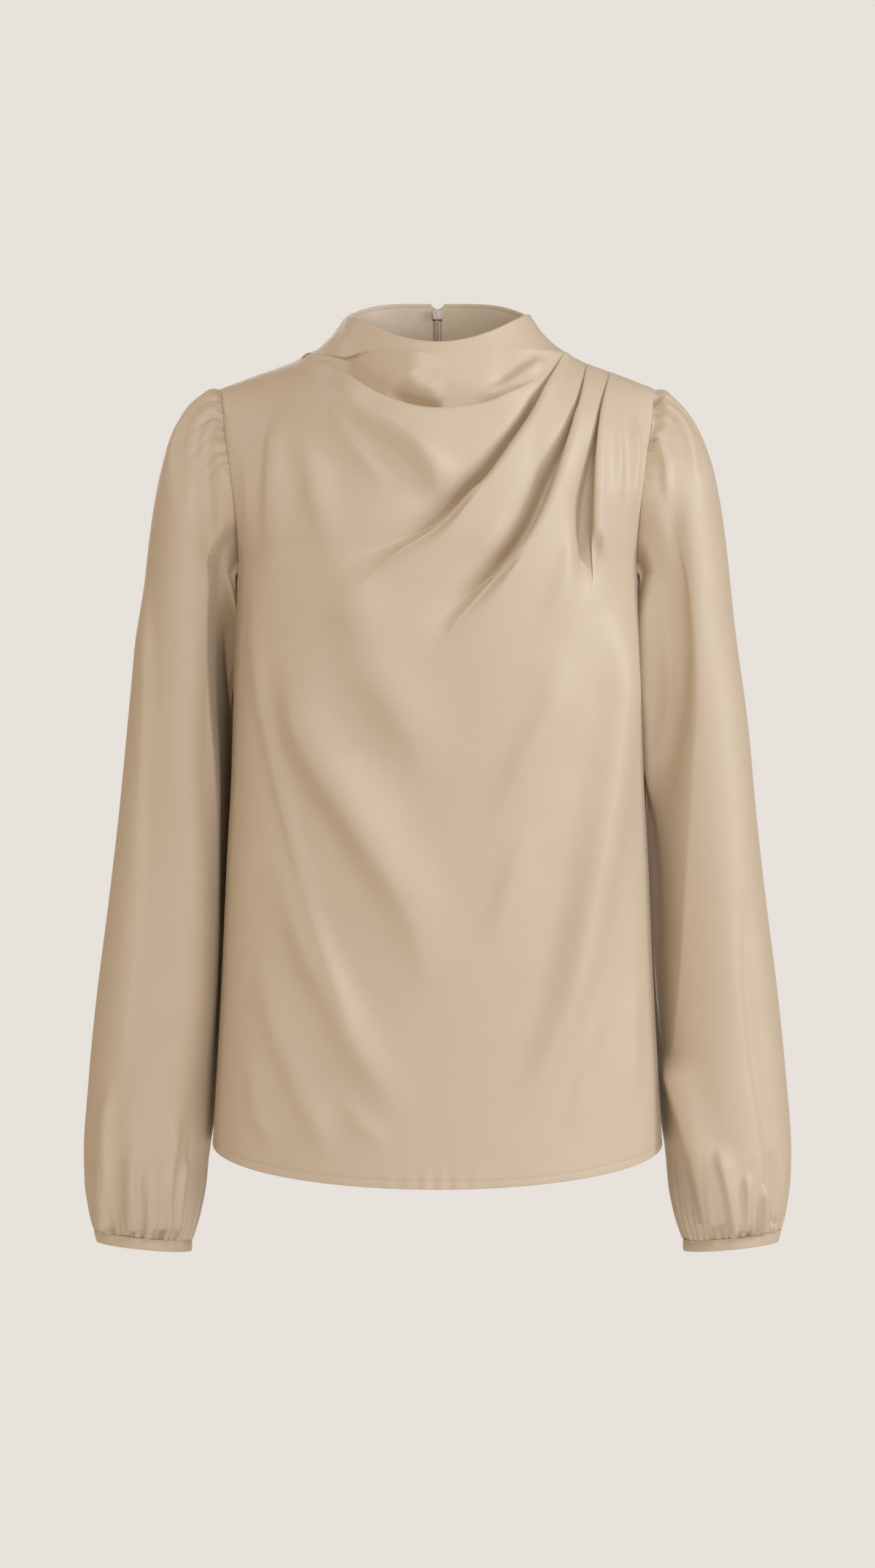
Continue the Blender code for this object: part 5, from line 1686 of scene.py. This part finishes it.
def build_stitches(thread):
    rows = {}
    for side in ("front", "back"):
        edge = float(half_width(np.array(float(HEM_SIDE)))) - 2
        x = np.linspace(-edge, edge, 700)
        z = hem_height(side, x) + HEM_STITCH_UP
        path = panel_points(side, x, z, HEM_STITCH_DEPTH)
        rows["hem_" + side] = stitch_row(
            "hem_stitches_" + side, path, outward(side, x, z), *HEM_STITCH, thread)
    for side, sign in (("left", 1), ("right", -1)):
        points, _ = cuff_cloth()
        path = points[CUFF_STITCH_ROW]
        path = np.concatenate([path, path[:1]])
        centre = path.mean(axis=0)
        out = (path - centre) * np.array([1, 1, 0])
        if side == "right":
            path, out = mirror(path), mirror(out)
        rows["cuff_" + side] = stitch_row("cuff_stitches_" + side, path, out, *CUFF_STITCH, thread)
        x = np.linspace(NOTCH_TOP_HALF + 2, COLLAR_SIDE_X - 3, 300)
        z = top_height("back", x) - NECK_STITCH_DOWN
        path = panel_points("back", sign * x, z, NECK_STITCH_DEPTH)
        rows["neck_" + side] = stitch_row(
            "neck_stitches_" + side, path, -outward("back", sign * x, z), *NECK_STITCH, thread)
    return rows


def surround():
    """A plain pale background for the camera, and a warm, weaker one that lights the cloth."""
    world = bpy.data.worlds.new("studio")
    world.use_nodes = True
    tree = world.node_tree
    for old in list(tree.nodes):
        tree.nodes.remove(old)
    seen = node(tree, "ShaderNodeBackground")
    set_inputs(seen, Color=BACKGROUND, Strength=1.0)
    lit = node(tree, "ShaderNodeBackground")
    set_inputs(lit, Color=SURROUND_COLOUR, Strength=SURROUND_STRENGTH)
    path = node(tree, "ShaderNodeLightPath")
    mix = node(tree, "ShaderNodeMixShader")
    out = node(tree, "ShaderNodeOutputWorld")
    tree.links.new(path.outputs["Is Camera Ray"], mix.inputs[0])
    tree.links.new(lit.outputs[0], mix.inputs[1])
    tree.links.new(seen.outputs[0], mix.inputs[2])
    tree.links.new(mix.outputs[0], out.inputs["Surface"])
    bpy.context.scene.world = world


def area_light(name, place, size, power, colour):
    """A round soft light that faces the blouse."""
    data = bpy.data.lights.new(name, "AREA")
    data.shape = "DISK"
    data.size = size
    data.energy = power
    data.color = colour
    lamp = bpy.data.objects.new(name, data)
    lamp.location = place
    aim = np.array(LIGHT_AIM) - np.array(place)
    lamp.rotation_mode = "QUATERNION"
    lamp.rotation_quaternion = Vector(aim).to_track_quat("-Z", "Y")
    bpy.context.scene.collection.objects.link(lamp)


def studio():
    """A pale surround and floor, with soft lights from the front, both sides and behind."""
    bpy.context.scene.view_settings.view_transform = "Standard"
    surround()
    for light in LIGHTS:
        area_light(*light)
    floor_mesh = bpy.data.meshes.new("floor")
    turn = np.linspace(0, 2 * math.pi, FLOOR_SIDES + 1)[:-1]
    ring = [(FLOOR_RADIUS * math.cos(a), FLOOR_RADIUS * math.sin(a), FLOOR_HEIGHT) for a in turn]
    floor_mesh.from_pydata(ring, [], [list(range(len(ring)))])
    floor = bpy.data.objects.new("floor", floor_mesh)
    bpy.context.scene.collection.objects.link(floor)
    floor_mesh.materials.append(solid_finish("floor_paint", *FLOOR_PAINT))


def camera():
    data = bpy.data.cameras.new("camera")
    data.lens = CAMERA_LENS
    data.sensor_width = 36
    data.clip_start = 0.1
    data.clip_end = 30
    made = bpy.data.objects.new("camera", data)
    made.location = CAMERA_PLACE
    made.rotation_euler = (math.pi / 2, 0, 0)
    bpy.context.scene.collection.objects.link(made)
    bpy.context.scene.camera = made


def main():
    camera()
    studio()
    cloth = cloth_finish("crepe_satin", (0.70, 0.595, 0.44), (0.66, 0.555, 0.405), 0.0013, 0.000045, 0.25)
    tape = cloth_finish("zip_tape_weave", (0.60, 0.49, 0.37), (0.54, 0.43, 0.32), 0.0009, 0.00006, 0.1)
    # The thread's tones are darker than its own colour: painted shade for the shadows in the needle pits
    # along each row of stitches.
    thread = solid_finish("thread", (0.52, 0.41, 0.30), (0.44, 0.34, 0.245), 3000, 0.6, 0.00005, 0.1)
    nylon = solid_finish("coil_nylon", (0.86, 0.76, 0.63), (0.80, 0.69, 0.56), 900, 0.5, 0.00004)
    enamel = solid_finish("slider_enamel", (0.76, 0.69, 0.60), (0.70, 0.63, 0.54), 500, 0.33, 0.00003)
    pieces = build_cloth(cloth, tape)
    rows = build_stitches(thread)
    for side, sign in (("left", 1), ("right", -1)):
        coil = coil_wire("zip_coil_wire_" + side, sign, nylon)
        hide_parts("zip_coil_" + side)
    slider = slider_piece(enamel)
    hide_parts("zip_slider")
    pull = pull_piece(enamel)
    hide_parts("zip_pull")


main()
